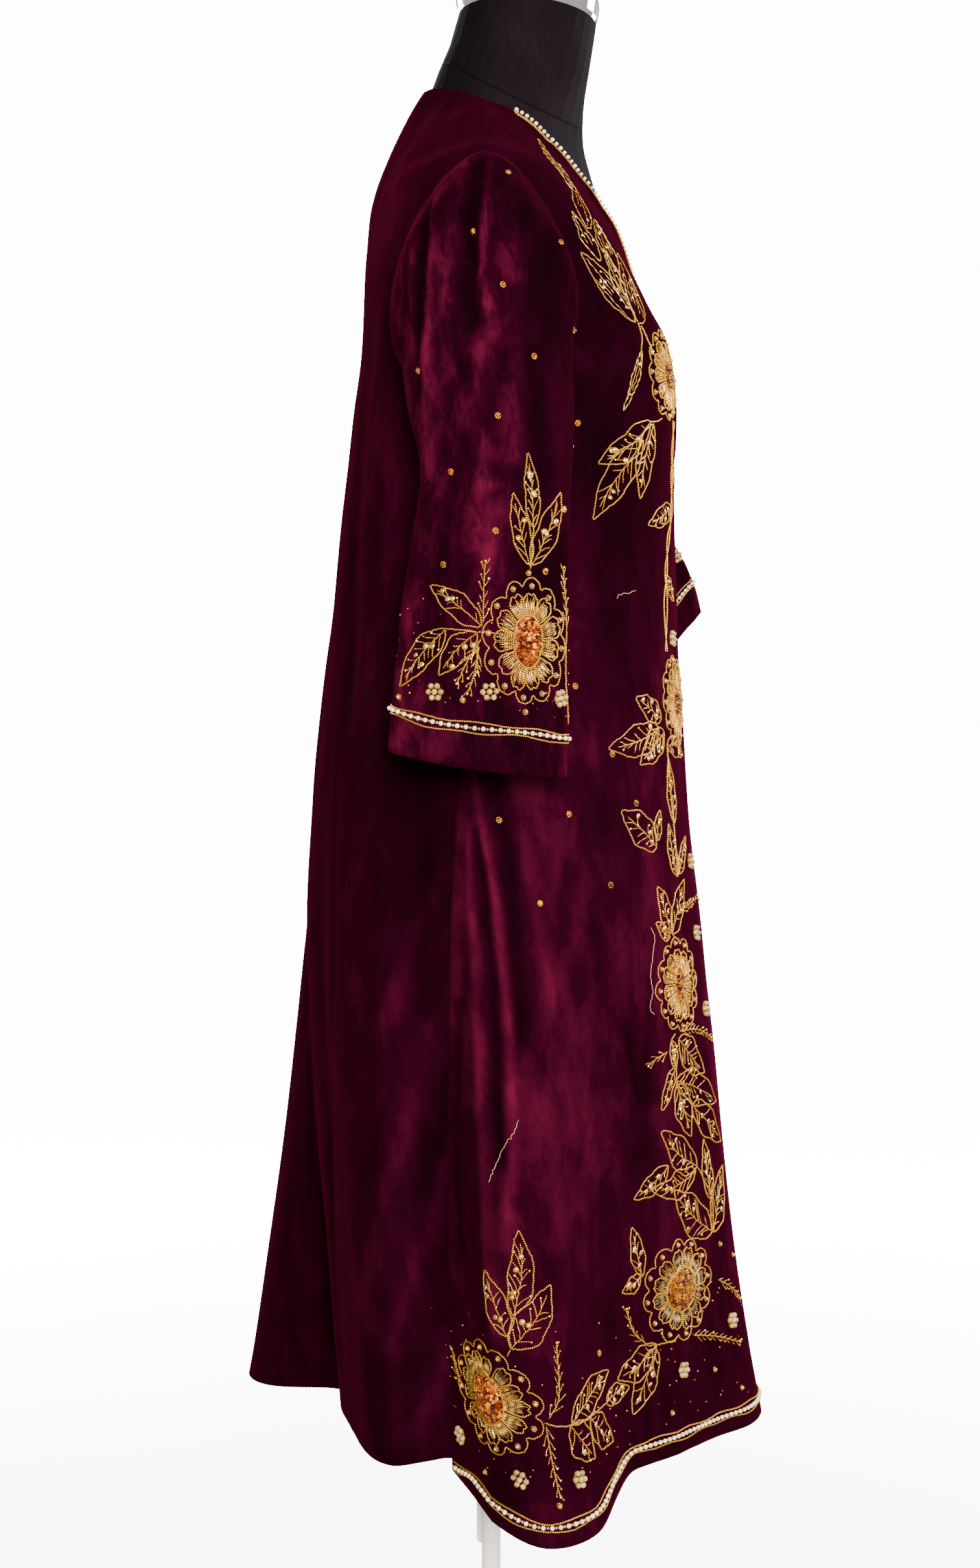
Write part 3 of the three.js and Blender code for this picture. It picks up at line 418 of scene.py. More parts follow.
def body_point(angle, z, creased=True):
    """Point of the cloth at an angle round the pole and a height."""
    across, along = np.sin(np.radians(angle)), np.cos(np.radians(angle))
    level = {name: read(z) for name, read in body_level.items()}
    power = level["square"]
    size = (np.abs(across) ** power + np.abs(along) ** power) ** (-1 / power)
    reach = np.where(along > 0, level["front"] - level["mid"], level["back"] + level["mid"])
    right = level["side"] * across * size
    ahead = level["mid"] + reach * along * size
    out = fold_reach(angle, z) + (crease_reach(angle, z) if creased else 0.0)
    grow = 1 + out / np.hypot(right, ahead)
    return np.stack([-right * grow, -ahead * grow, z + 0 * angle], axis=-1)


def unit(vectors):
    return vectors / np.maximum(np.linalg.norm(vectors, axis=-1, keepdims=True), 1e-9)


def body_normal(angle, z):
    """Outward direction of the cloth there."""
    round_way = body_point(angle + 0.4, z) - body_point(angle - 0.4, z)
    up_way = body_point(angle, z + 1.0) - body_point(angle, z - 1.0)
    return unit(np.cross(up_way, round_way))


def angle_ahead(ahead, z):
    """Angle at which the level section at z lies the given distance ahead of the pole."""
    low, high = np.zeros_like(z), np.full_like(z, 180.0)
    for _ in range(40):
        middle = (low + high) / 2
        further = -body_point(middle, z, creased=False)[..., 1] > ahead
        low, high = np.where(further, middle, low), np.where(further, high, middle)
    return (low + high) / 2


ARM_TURNS = np.linspace(0, 180, 361)


def armhole_table(width):
    """Angles and heights down one edge of the right armhole, which lies width ahead or behind."""
    middle = (SHOULDER_Z + UNDERARM_Z) / 2
    z = middle + (SHOULDER_Z - middle) * np.cos(np.radians(ARM_TURNS))
    eased = ARM_TURNS - ARMHOLE["sag"] * np.sin(np.radians(ARM_TURNS))
    angle = angle_ahead(SHOULDER_LINE + width * np.sin(np.radians(eased)), z)
    angle[0] = angle[-1] = 90.0
    return angle, z


armholes = {edge: armhole_table(ARMHOLE[edge]) for edge in ("ahead", "behind")}


def armhole_spot(turn, edge):
    """Angle and height on the wearer's right armhole, by the turn down from the shoulder."""
    angle, z = armholes[edge]
    return np.interp(turn, ARM_TURNS, angle), np.interp(turn, ARM_TURNS, z)


# ---------------------------------------------------------------- form of the sleeves
def armhole_point(side, turn):
    """Point on the armhole's edge; the turn goes down its front half and up its rear half."""
    turn = turn % 360
    ahead_half = turn <= 180
    fore = armhole_spot(np.where(ahead_half, turn, 0), "ahead")
    aft = armhole_spot(np.where(ahead_half, 0, 360 - turn), "behind")
    angle = np.where(ahead_half, fore[0], aft[0])
    z = np.where(ahead_half, fore[1], aft[1])
    return body_point(side * angle, z)


def ring_point(side, rings, index, turn):
    """Point on a sleeve ring, which the lean tips from level towards upright."""
    ring = {name: rings[index, i] for i, name in enumerate(RING_NAMES)}
    top, fore = np.cos(np.radians(turn)), np.sin(np.radians(turn))
    power = ring["square"]
    size = (np.abs(top) ** power + np.abs(fore) ** power) ** (-1 / power)
    tilt, lean = np.radians(ring["tilt"]), np.radians(ring["lean"])
    depth, height = ring["reach"] * fore * size, ring["puff"] * top * size
    out = ring["out"] + height * np.cos(lean)
    ahead = ring["ahead"] + depth * np.cos(tilt) - height * np.sin(lean) * np.sin(tilt)
    z = ring["z"] + depth * np.sin(tilt) + height * np.sin(lean) * np.cos(tilt)
    return np.stack([-side * out, -ahead, z], axis=-1)


class Sleeve:
    """One sleeve: smooth lengths of cloth through its rings, with pleats and creases."""

    def __init__(self, side, rings):
        self.side = side
        self.rings = np.array(rings, float)

    def stop(self, index, turn):
        """Point on a ring, counted from the armhole's edge as 0."""
        ring = ring_point(self.side, self.rings, np.maximum(index - 1, 0), turn)
        head = armhole_point(self.side, turn)
        return np.where((index == 0)[..., None], head, ring)

    def smooth(self, turn, down):
        """Point on a smooth curve down the rings, before pleats and creases."""
        down = np.clip(down, 0, SLEEVE_RINGS)
        i = np.minimum(np.floor(down).astype(int), SLEEVE_RINGS - 1)
        t = (down - i)[..., None]
        p1, p2 = self.stop(i, turn), self.stop(i + 1, turn)
        p0 = np.where((i > 0)[..., None], self.stop(np.maximum(i - 1, 0), turn), 2 * p1 - p2)
        last = (i + 2 <= SLEEVE_RINGS)[..., None]
        p3 = np.where(last, self.stop(np.minimum(i + 2, SLEEVE_RINGS), turn), 2 * p2 - p1)
        t1, t2 = 0.5 * (p2 - p0), 0.5 * (p3 - p1)
        return p1 + t * (t1 + t * (-3 * p1 + 3 * p2 - 2 * t1 - t2 + t * (2 * p1 - 2 * p2 + t1 + t2)))

    def smooth_normal(self, turn, down):
        round_way = self.smooth(turn + 1, down) - self.smooth(turn - 1, down)
        along = self.smooth(turn, np.minimum(down + 0.05, SLEEVE_RINGS))
        along = along - self.smooth(turn, np.maximum(down - 0.05, 0))
        return unit(np.cross(along, round_way) * self.side)

    def relief(self, turn, down):
        """How far pleats, creases and the worn, uneven cloth stand out."""
        total = np.zeros_like(turn + down)
        fade = np.minimum(down, 1) * np.clip(1 - down / PLEAT_LENGTH, 0, 1)
        for angle, depth in PLEATS:
            total -= depth * fade * bell(wrapped(turn - angle), PLEAT_WIDTH)
        for _, top_turn, top_down, foot_turn, foot_down, width, reach in SLEEVE_CREASES:
            along = (down - top_down) / (foot_down - top_down)
            away = wrapped(turn - (top_turn + (foot_turn - top_turn) * np.clip(along, -0.3, 1.3)))
            ends = smooth_step((along + 0.3) / 0.6) * smooth_step((1.3 - along) / 0.6)
            total += reach * ends * bell(away, width)
        worn = smooth_step(down / 1.2)
        total += 1.3 * worn * ripple(turn / 360, down * 1.1, 15, 21 + self.side)
        total += 0.6 * worn * ripple(turn / 360, down * 2.6, 33, 31 + self.side)
        return total

    def point(self, turn, down):
        lift = self.relief(turn, down)[..., None]
        return self.smooth(turn, down) + self.smooth_normal(turn, down) * lift

    def normal(self, turn, down):
        round_way = self.point(turn + 1, down) - self.point(turn - 1, down)
        along = self.point(turn, np.minimum(down + 0.03, SLEEVE_RINGS))
        along = along - self.point(turn, np.maximum(down - 0.03, 0))
        return unit(np.cross(along, round_way) * self.side)


sleeves = {"right": Sleeve(1, SLEEVES["right"]), "left": Sleeve(-1, SLEEVES["left"])}


# ---------------------------------------------------------------- meshes
EDGE_BULGE = 0.35             # the cut edges of the cloth are rounded by this much
SAME_PLACE = 0.02             # points of two grids closer than this are one


class Mesh:
    """Points and faces gathered in millimetres, with a texture place for each face corner."""

    def __init__(self):
        self.points, self.faces, self.places, self.slots, self.count = [], [], [], [], 0

    def add(self, points, faces, places, slot=0):
        self.points.append(points)
        self.faces.extend((np.asarray(faces) + self.count).tolist())
        self.places.append(np.asarray(places, float).reshape(-1, 2))
        self.slots.extend([slot] * len(faces))
        self.count += len(points)

    def make(self, name, materials, **values):
        """The finished piece, with the values as attributes of its points."""
        data = bpy.data.meshes.new(name)
        data.from_pydata((np.concatenate(self.points) * MM).tolist(), [], self.faces)
        for key, value in values.items():
            data.attributes.new(key, "FLOAT", "POINT").data.foreach_set("value", value)
        uv = data.uv_layers.new(name="cloth")
        uv.data.foreach_set("uv", np.concatenate(self.places).ravel())
        for material in materials:
            data.materials.append(material)
        data.polygons.foreach_set("material_index", self.slots)
        data.polygons.foreach_set("use_smooth", [True] * len(data.polygons))
        data.update()
        piece = bpy.data.objects.new(name, data)
        bpy.context.scene.collection.objects.link(piece)
        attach(piece, "root")
        return piece


def grid_faces(rows, columns):
    """Quads of a grid of points stored row by row."""
    r, c = np.meshgrid(np.arange(rows - 1), np.arange(columns - 1), indexing="ij")
    first = (r * columns + c).ravel()
    return np.stack([first, first + 1, first + columns + 1, first + columns], axis=1)


def outward_faces(grids, points, normals):
    """Quads of all the grids, those of each grid turned to face outwards."""
    faces, start = [], 0
    for grid in grids:
        rows, columns = grid[0].shape[:2]
        quads = grid_faces(rows, columns) + start
        middle = quads[len(quads) // 2]
        a, b, c = points[middle[:3]]
        outwards = np.dot(np.cross(b - a, c - a), normals[middle[0]]) > 0
        faces.append(quads if outwards else quads[:, ::-1])
        start += rows * columns
    return np.concatenate(faces)


def open_edges(faces):
    """Edges that only one face has: their two points, and the face and corner they start from."""
    edges = {(face[k], face[(k + 1) % 4]): (number, k)
             for number, face in enumerate(faces) for k in range(4)}
    return [(pair, spot) for pair, spot in edges.items() if (pair[1], pair[0]) not in edges]


def cloth_shell(name, grids, materials):
    """Closed thin wall from grids of (points, normals, places, nap, crush), joined where they touch."""
    points, normals, places = (np.concatenate([grid[k].reshape(-1, size) for grid in grids])
                               for k, size in ((0, 3), (1, 3), (2, 2)))
    pile = np.stack([np.concatenate([grid[k].ravel() for grid in grids]) for k in (3, 4)])
    faces = outward_faces(grids, points, normals)
    corner_places = places[faces]
    _, first, same = np.unique(np.round(points / SAME_PLACE).astype(int), axis=0,
                               return_index=True, return_inverse=True)
    points, normals, pile = points[first], normals[first], pile[:, first]
    outer = same.ravel()[faces]
    rim = open_edges(outer)
    count = len(points)
    rim_ids = sorted({i for pair, _ in rim for i in pair})
    rim_index = {i: 2 * count + n for n, i in enumerate(rim_ids)}
    outward = np.zeros_like(points)
    for (a, b), _ in rim:
        side = np.cross(points[b] - points[a], normals[a])
        outward[a] += side
        outward[b] += side
    outward = unit(outward[rim_ids])
    middles = points[rim_ids] - normals[rim_ids] * CLOTH_THICKNESS / 2 + outward * EDGE_BULGE
    inside = points - normals * CLOTH_THICKNESS
    mesh = Mesh()
    mesh.add(np.concatenate([points, inside, middles]), outer, corner_places)
    # The back of the cloth takes the second material, and the rounded cut edge the first.
    mesh.faces.extend((outer[:, ::-1] + count).tolist())
    mesh.places.append(corner_places[:, ::-1].reshape(-1, 2))
    mesh.slots.extend([1] * len(outer))
    for (a, b), (number, k) in rim:
        pair = corner_places[number][[k, (k + 1) % 4]]
        middle_a, middle_b = rim_index[a], rim_index[b]
        mesh.faces.append([int(b), int(a), middle_a, middle_b])
        mesh.faces.append([middle_b, middle_a, int(a) + count, int(b) + count])
        mesh.places.extend([pair[[1, 0, 0, 1]]] * 2)
        mesh.slots.extend([0] * 2)
    nap, crush = np.concatenate([pile, pile, pile[:, rim_ids]], axis=1)
    return mesh.make(name, materials, nap=nap, crush=crush)


# ---------------------------------------------------------------- flat maps of the cloth
class Ground:
    """Flat map of a stretch of cloth. A spot is a place in the cloth's own terms."""

    def point_and_normal(self, x, y):
        """Where a flat place lies on the cloth, raised by the lines, and the outward direction."""
        spot = self.spot_at(x, y)
        normal = self.normal(*spot)
        return self.point(*spot) + normal * self.lines_at(x, y)[1][..., None], normal


class BodyGround(Ground):
    """Flat map of the body: x is the distance round the cloth from the centre front,
    positive to the wearer's right, and y is the height. A spot is an angle and a height."""

    point, normal = staticmethod(body_point), staticmethod(body_normal)
    height_step = 5.0
    angles = np.arange(-180, 181, 1.0)
    heights = np.arange(235, 1415, height_step)

    def __init__(self):
        self.arcs = arcs_round(body_point(*np.meshgrid(self.angles, self.heights)))
        rows = np.linspace(0, len(FRONT_NECK["z"]) - 1, 29)
        self.neck_z = front_neck["z"](rows)
        self.neck_x = self.arc_at(front_neck["angle"](rows), self.neck_z)

    def arc_at(self, angle, z):
        """Distance round the cloth from the centre front."""
        return read_grid(self.arcs, (z - self.heights[0]) / self.height_step, angle - self.angles[0])

    def spot_at(self, x, z):
        """Spot of a flat place, closed in on by steps along the arc."""
        angle = np.clip(x / 3.0, -100, 100)
        for _ in range(14):
            here = self.arc_at(angle, z)
            slope = self.arc_at(angle + 0.5, z) - self.arc_at(angle - 0.5, z)
            angle = np.clip(angle + 0.8 * (x - here) / np.maximum(slope, 0.3), -179, 179)
        return angle, z

    def lines_at(self, x, y):
        """Lines of the front; the left half has its own slightly moved set of them."""
        left = x < 0
        moved = np.where(left, 4 - x * 1.02, x), np.where(left, y + 16, y)
        light, height = read_lines(FRONT_LINES, *moved)
        from_neck = np.abs(x) - np.interp(y, self.neck_z, self.neck_x)
        near_v = smooth_step((1350 - y) / 60) * bell(np.minimum(y - V_BOTTOM_Z, 0), 14)
        return light, height + NECK_ROLL * near_v * bell(from_neck, 16)


class SleeveGround(Ground):
    """Flat map of a sleeve: x is the distance round it, positive ahead of its outer line,
    and y is the distance up from the cuff. A spot is a turn and the rings down to it."""

    turn_step = 2.0
    turns = np.arange(-180, 181, turn_step)
    downs = np.linspace(0, SLEEVE_RINGS, 81)

    def __init__(self, sleeve):
        self.sleeve, self.point, self.normal = sleeve, sleeve.point, sleeve.normal
        points = sleeve.point(*np.meshgrid(self.turns, self.downs))
        self.arcs = arcs_round(points)
        lengths = run_lengths(points)
        self.rises = lengths[-1] - lengths

    def read(self, table, turn, down):
        return read_grid(table, down / self.downs[1], (turn - self.turns[0]) / self.turn_step)

    def spot_at(self, x, y):
        """Spot of a flat place, closed in on by steps round the sleeve and along it."""
        turn, down = np.clip(x * 1.1, -170, 170), np.clip(8 - y / 60, 0.2, 8)
        for _ in range(12):
            slope = (self.read(self.arcs, turn + 1, down) - self.read(self.arcs, turn - 1, down)) / 2
            missed = x - self.read(self.arcs, turn, down)
            turn = np.clip(turn + 0.8 * missed / np.maximum(slope, 0.2), -178, 178)
            above, below = (self.read(self.rises, turn, down + step) for step in (-0.1, 0.1))
            missed = self.read(self.rises, turn, down) - y
            slope = (above - below) / 0.2
            down = np.clip(down + 0.8 * missed / np.maximum(slope, 10), 0, SLEEVE_RINGS)
        return turn, down

    def lines_at(self, x, y):
        """Lines of the sleeve, and a raised roll of the pile along the rear of its head seam with a
        painted highlight on it, and painted shade along the front of the seam.
        """
        moved = 0 if self.sleeve.side > 0 else 7
        light, height = read_lines(SLEEVE_LINES, x + moved, y + moved)
        turn = np.interp(x, self.arcs[0], self.turns)
        from_head = np.interp(turn, self.turns, self.rises[0]) - y
        rear = smooth_step((8 - turn) / 14) * smooth_step((turn + 165) / 30)
        roll = bell(from_head - 6, 7) * (0.75 + 0.25 * np.sin(turn / 3.1))
        fore = smooth_step((turn - 12) / 12) * smooth_step((150 - turn) / 30)
        return light + (1.3 * rear - 0.9 * fore) * roll, height + 1.6 * rear * roll


body_ground = BodyGround()
sleeve_grounds = {name: SleeveGround(sleeve) for name, sleeve in sleeves.items()}


# ---------------------------------------------------------------- colours and node helpers
def colour(hex_code):
    """Linear colour of an sRGB hex code."""
    parts = [int(hex_code[i:i + 2], 16) / 255 for i in (1, 3, 5)]
    linear = [p / 12.92 if p <= 0.04045 else ((p + 0.055) / 1.055) ** 2.4 for p in parts]
    return (*linear, 1.0)


def set_stops(elements, stops):
    """Puts stops of (place, hex colour) on a ramp, which has two of its own to start with."""
    for end, (place, code) in ((elements[0], stops[0]), (elements[1], stops[-1])):
        end.position, end.color = place, colour(code)
    for place, code in stops[1:-1]:
        elements.new(place).color = colour(code)


def add_node(tree, kind, settings=None, links=None):
    """Adds a node, sets its options, sockets or colour stops, and links what feeds its sockets.

    A node that feeds a socket does so from its first output, unless the output itself is given.
    """
    node = tree.nodes.new("ShaderNode" + kind)
    for name, value in (settings or {}).items():
        if name == "stops":
            set_stops(node.color_ramp.elements, value)
        elif isinstance(name, str) and hasattr(node, name):
            setattr(node, name, value)
        else:
            node.inputs[name].default_value = value
    for name, source in (links or {}).items():
        output = source.outputs[0] if isinstance(source, bpy.types.Node) else source
        tree.links.new(output, node.inputs[name])
    return node


def new_material(name):
    """A new material and its empty node tree."""
    material = bpy.data.materials.new(name)
    material.use_nodes = True
    material.node_tree.nodes.clear()
    return material, material.node_tree


def finish_material(tree, settings, links):
    """Ends a material's tree with its surface: what its sockets hold, and what feeds them."""
    shader = add_node(tree, "BsdfPrincipled", settings, links)
    add_node(tree, "OutputMaterial", None, {"Surface": shader})


# ---------------------------------------------------------------- camera, floor and light
EYE = (-1.8, 0.001, 0.811)    # metres: on the wearer's right, a little above half the height
LENS = 48.2
WHITE_SWEEP = 14.0            # brightness of the empty backdrop
ROOM = 0.54                   # brightness of the rest of the room, which lights the cloth softly
FLOOR_GLOW = 6.0              # brightness of the floor round the stand
WHITE = (1, 1, 1, 1)

camera_data = bpy.data.cameras.new("camera")
camera_data.lens = LENS
camera_data.sensor_width = 36.0
camera = bpy.data.objects.new("camera", camera_data)
camera.location = EYE
camera.rotation_euler = (math.radians(90), 0, math.radians(-90))
bpy.context.scene.collection.objects.link(camera)
bpy.context.scene.camera = camera


def area_light(name, place, aim, size, power, tint=WHITE[:3]):
    data = bpy.data.lights.new(name, "AREA")
    data.shape = "DISK"
    data.size, data.energy, data.color = size, power, tint
    light = bpy.data.objects.new(name, data)
    light.location = place
    way = Vector(aim) - Vector(place)
    light.rotation_euler = way.to_track_quat("-Z", "Y").to_euler()
    bpy.context.scene.collection.objects.link(light)


area_light("front softbox", (-2.7, -0.2, 1.25), (0, -0.02, 0.85), 0.8, 202)
area_light("front top softbox", (-1.6, -1.9, 2.3), (0, 0, 0.8), 1.0, 81)
area_light("rear softbox", (2.4, 1.7, 1.9), (0, 0, 0.8), 1.2, 148)
area_light("far side softbox", (1.7, -2.3, 1.7), (0, 0, 0.8), 1.2, 148)
area_light("low fill", (-2.0, -0.7, 0.3), (0, 0, 0.1), 0.5, 12, (1.0, 0.95, 0.92))

world = bpy.data.worlds.new("studio")
bpy.context.scene.world = world
world.use_nodes = True
sky = world.node_tree
sky.nodes.clear()
sweep = add_node(sky, "Background", {"Color": WHITE, "Strength": WHITE_SWEEP})
room = add_node(sky, "Background", {"Color": WHITE, "Strength": ROOM})
seen = add_node(sky, "LightPath").outputs["Is Camera Ray"]
both = add_node(sky, "MixShader", None, {0: seen, 1: room, 2: sweep})
add_node(sky, "OutputWorld", None, {"Surface": both})


def make_glowing_floor():
    # Pale painted board with a painted glow: it gives off light, brighter away from the stand, until it
    # matches the backdrop.
    material, tree = new_material("pale studio floor")
    place = add_node(tree, "TexCoord").outputs["Object"]
    away = add_node(tree, "VectorMath", {"operation": "LENGTH"}, {0: place}).outputs["Value"]
    glow = add_node(tree, "MapRange", {"interpolation_type": "SMOOTHSTEP", "To Min": FLOOR_GLOW,
                                       "To Max": WHITE_SWEEP, "From Min": 0.35, "From Max": 2.4},
                    {"Value": away})
    finish_material(tree, {"Base Color": colour("#f4f3f1"), "Roughness": 0.9, "Emission Color": WHITE,
                           "Specular IOR Level": 0.1}, {"Emission Strength": glow})
    return material


bpy.ops.object.select_all(action="DESELECT")
bpy.ops.mesh.primitive_plane_add(size=30.0, location=(0, 0, 0))
floor = bpy.context.object
floor.name = "studio_floor"
floor.data.materials.append(make_glowing_floor())
floor.visible_diffuse = False
floor.visible_glossy = False


# ---------------------------------------------------------------- velvet
def make_velvet():
    # Silk pile velvet: short upright fibres on a woven backing. It drinks the light that meets
    # it squarely, so it looks near black; crushed pile lies down and shows wine red. Its colour
    # also carries painted light from a value on the cloth's points: painted highlights along
    # ridges, glows and streaks, and painted shade in creases, clefts and the shaded parts.
    material, tree = new_material("crushed silk pile velvet")
    place = add_node(tree, "UVMap", {"uv_map": "cloth"})
    laid = add_node(tree, "Attribute", {"attribute_name": "nap"}).outputs["Fac"]
    worn = add_node(tree, "Attribute", {"attribute_name": "crush"}).outputs["Fac"]
    # Blotches of 50 by 90 mm, crush marks of 14 by 33 mm, and tufts drawn 3 by 7 mm, coarser than
    # life: how many to the metre across and up, the noise, its spread and its share of the marks.
    noises, marks = [], None
    for scale, grain, spread, share in (
            ((20, 11), {"Detail": 2.0, "Distortion": 1.0}, 0.14, 0.28),
            ((72, 30), {"Detail": 4.0, "Roughness": 0.6, "Distortion": 0.4}, 0.12, 0.22),
            ((300, 150), {"Detail": 2.0, "Roughness": 0.6}, 0.2, 0.1)):
        drawn = add_node(tree, "Mapping", {"Scale": (*scale, 1)}, {"Vector": place})
        noises.append(add_node(tree, "TexNoise", {"Scale": 1.0, **grain}, {"Vector": drawn}))
        ends = {"From Min": 0.5 - spread, "From Max": 0.5 + spread, "To Min": -0.5, "To Max": 0.5}
        level = add_node(tree, "MapRange", {"interpolation_type": "SMOOTHSTEP", **ends},
                         {"Value": noises[-1]})
        marks = add_node(tree, "Math", {"operation": "MULTIPLY_ADD", 1: share, 2: 0.0},
                         {0: level, 2: marks} if marks else {0: level})
    _, crush, tuft = noises
    # The random crush marks, scaled by the crush value, go over the pile value, which carries the
    # painted light and shade.
    value = add_node(tree, "Math", {"operation": "MULTIPLY_ADD"}, {0: marks, 1: worn, 2: laid})
    stops = [(0.0, "#0d0105"), (0.25, "#140107"), (0.5, "#1e010c"), (0.75, "#2f0414"), (1.0, "#43091c")]
    tint = add_node(tree, "ValToRGB", {"stops": stops}, {"Fac": value})
    rough = add_node(tree, "MapRange", {"To Min": 0.98, "To Max": 0.75}, {"Value": value})
    height = add_node(tree, "Math", {"operation": "MULTIPLY_ADD", 1: 0.5}, {0: tuft, 2: crush})
    bump = add_node(tree, "Bump", {"Strength": 0.35, "Distance": 0.0012}, {"Height": height})
    finish_material(tree, {"Sheen Weight": 0.074, "Sheen Roughness": 0.42,
                           "Sheen Tint": colour("#962042"), "Specular IOR Level": 0.0},
                    {"Base Color": tint, "Roughness": rough, "Normal": bump})
    return material


def make_backing():
    # Plain woven cotton back of the velvet: dull, flat and a shade browner than the pile.
    # The threads are 0.4 mm apart in life and drawn 1.6 mm apart, to show.
    material, tree = new_material("woven cotton velvet backing")
    place = add_node(tree, "UVMap", {"uv_map": "cloth"})
    weave = add_node(tree, "TexVoronoi", {"Scale": 620.0, "Randomness": 0.25, "distance": "CHEBYCHEV"},
                     {"Vector": place})
    tint = add_node(tree, "ValToRGB", {"stops": [(0.1, "#320a16"), (0.7, "#1a040b")]}, {"Fac": weave})
    bump = add_node(tree, "Bump", {"Strength": 0.4, "Distance": 0.0003, "invert": True},
                    {"Height": weave})
    finish_material(tree, {"Roughness": 0.95, "Specular IOR Level": 0.1},
                    {"Base Color": tint, "Normal": bump})
    return material


CLOTH_MATERIALS = [make_velvet(), make_backing()]

# ---------------------------------------------------------------- front and back
SKIRT_ROWS = 150
CHEST_ROWS = 48
FRONT_COLUMNS = 96
BACK_COLUMNS = 72
CENTRE = {"front": 0.0, "back": 180.0}    # angle of each panel's centre line
PANELS = {"front": (V_BOTTOM_Z, front_neck, "ahead", front_hem),
          "back": (BACK_NECK_Z, back_neck, "behind", back_hem)}


def panel_grid(panel, side, columns):
    """Angles and heights of one half of a panel, hem first, from the centre line outwards."""
    neck_z, neckline, edge, hem_at = PANELS[panel]
    centre, straight = CENTRE[panel], STRAIGHT_ROWS[panel] / ARMHOLE_ROWS
    share = np.linspace(0, 1, SKIRT_ROWS)[:, None]
    level = HEM_Z + (UNDERARM_Z - HEM_Z) * share
    skirt_angle = centre + (seam_angle(level) - centre) * columns
    hem = hem_at(side * skirt_angle if panel == "front" else (side * skirt_angle) % 360)
    skirt_z = hem + (UNDERARM_Z - hem) * share
    row = np.linspace(0, 1, CHEST_ROWS + 1)[1:]
    outer_angle, outer_z = armhole_spot(180 - 180 * row, edge)
    neck_row = np.maximum(row - straight, 0) * ARMHOLE_ROWS
    on_neck = row > straight
    inner_angle = np.where(on_neck, neckline["angle"](neck_row), centre)
    straight_z = UNDERARM_Z + (neck_z - UNDERARM_Z) * row / straight
    inner_z = np.where(on_neck, neckline["z"](neck_row), straight_z)
    chest_angle = inner_angle[:, None] + (outer_angle - inner_angle)[:, None] * columns
    chest_z = inner_z[:, None] + (outer_z - inner_z)[:, None] * columns
    return side * np.concatenate([skirt_angle, chest_angle]), np.concatenate([skirt_z, chest_z])


def paint_pile_light(light, relief, shade):
    """Pile value from 0, dark, to 1, light. It is painted light: the lines' painted highlights and
    shade, a painted highlight on ridges and painted shade in creases from the relief, and the painted
    shade given.
    """
    return np.clip(0.5 + 0.33 * light + 0.05 * relief + shade, 0.0, 1.0)


def cloth_grid(panel, side, columns):
    """Points, normals, flat places, nap and crush of one half of a panel."""
    angle, z = panel_grid(panel, side, columns)
    x = body_ground.arc_at(angle, z) - body_ground.arc_at(np.full_like(z, side * CENTRE[panel]), z)
    upper = smooth_step((z - 900) / 200)
    if panel == "front":
        # Its lines die out at the side seam. Painted shade: the pile is painted darker up the chest,
        # more so ahead of the side seam, and near the hem.
        light, height = body_ground.lines_at(x, z)
        height *= smooth_step((seam_angle(z) - np.abs(angle)) / 4)
        ahead = smooth_step((88 - np.abs(angle)) / 35)
        shade = 0.03 - (0.07 + 0.24 * ahead) * upper - 0.15 * smooth_step((440 - z) / 130)
        crush = 0.6
    else:
        light, height = read_lines(BACK_LINES, x, z)
        # Painted shade over the whole back, less of it above the waist.
        shade = -0.17 + 0.12 * upper
        crush = 0.5
    nap = paint_pile_light(light, crease_reach(angle, z), shade)
    normals = body_normal(angle, z)
    points = body_point(angle, z) + normals * height[..., None]
    return points, normals, np.stack([x, z], axis=-1) * MM, nap, np.full_like(nap, crush)


# The columns of the front crowd together towards the side seam, where its folds are.
front_share = np.linspace(0, 1, FRONT_COLUMNS)
front_columns = (front_share * (1.3 - 0.3 * front_share))[None, :]
back_columns = np.linspace(0, 1, BACK_COLUMNS)[None, :]
front_cloth = cloth_shell("front_cloth", [cloth_grid("front", side, front_columns) for side in (1, -1)],
                          CLOTH_MATERIALS)
back_cloth = cloth_shell("back_cloth", [cloth_grid("back", side, back_columns) for side in (1, -1)],
                         CLOTH_MATERIALS)
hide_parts("front")
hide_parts("back")

# ---------------------------------------------------------------- sleeves
SLEEVE_COLUMNS = 145
SLEEVE_ROWS = 90


def sleeve_grid(ground):
    """Points, normals, flat places, nap and crush of a sleeve."""
    turn, down = np.meshgrid(np.linspace(-180, 180, SLEEVE_COLUMNS),
                             np.linspace(0, SLEEVE_RINGS, SLEEVE_ROWS))
    x, y = ground.read(ground.arcs, turn, down), ground.read(ground.rises, turn, down)
    light, height = ground.lines_at(x, y)
    height *= smooth_step(down / 0.25)
    normals = ground.normal(turn, down)
    points = ground.point(turn, down) + normals * height[..., None]
    # Painted shade: the pile is painted darker along the front of the sleeve and towards the wrist, and
    # its crush marks show less along the front.
    fore = smooth_step((turn - 8) / 30) * smooth_step((170 - turn) / 20) * smooth_step((y - 60) / 90)
    wrist = smooth_step((260 - y) / 140)
    nap = paint_pile_light(light, ground.sleeve.relief(turn, down), 0.05 - 0.32 * fore - 0.12 * wrist)
    return points, normals, np.stack([x, y], axis=-1) * MM, nap, 1.2 - 0.7 * fore


for name, ground in sleeve_grounds.items():
    cloth_shell(f"sleeve_{name}_cloth", [sleeve_grid(ground)], CLOTH_MATERIALS)
    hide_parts(f"sleeve_{name}")


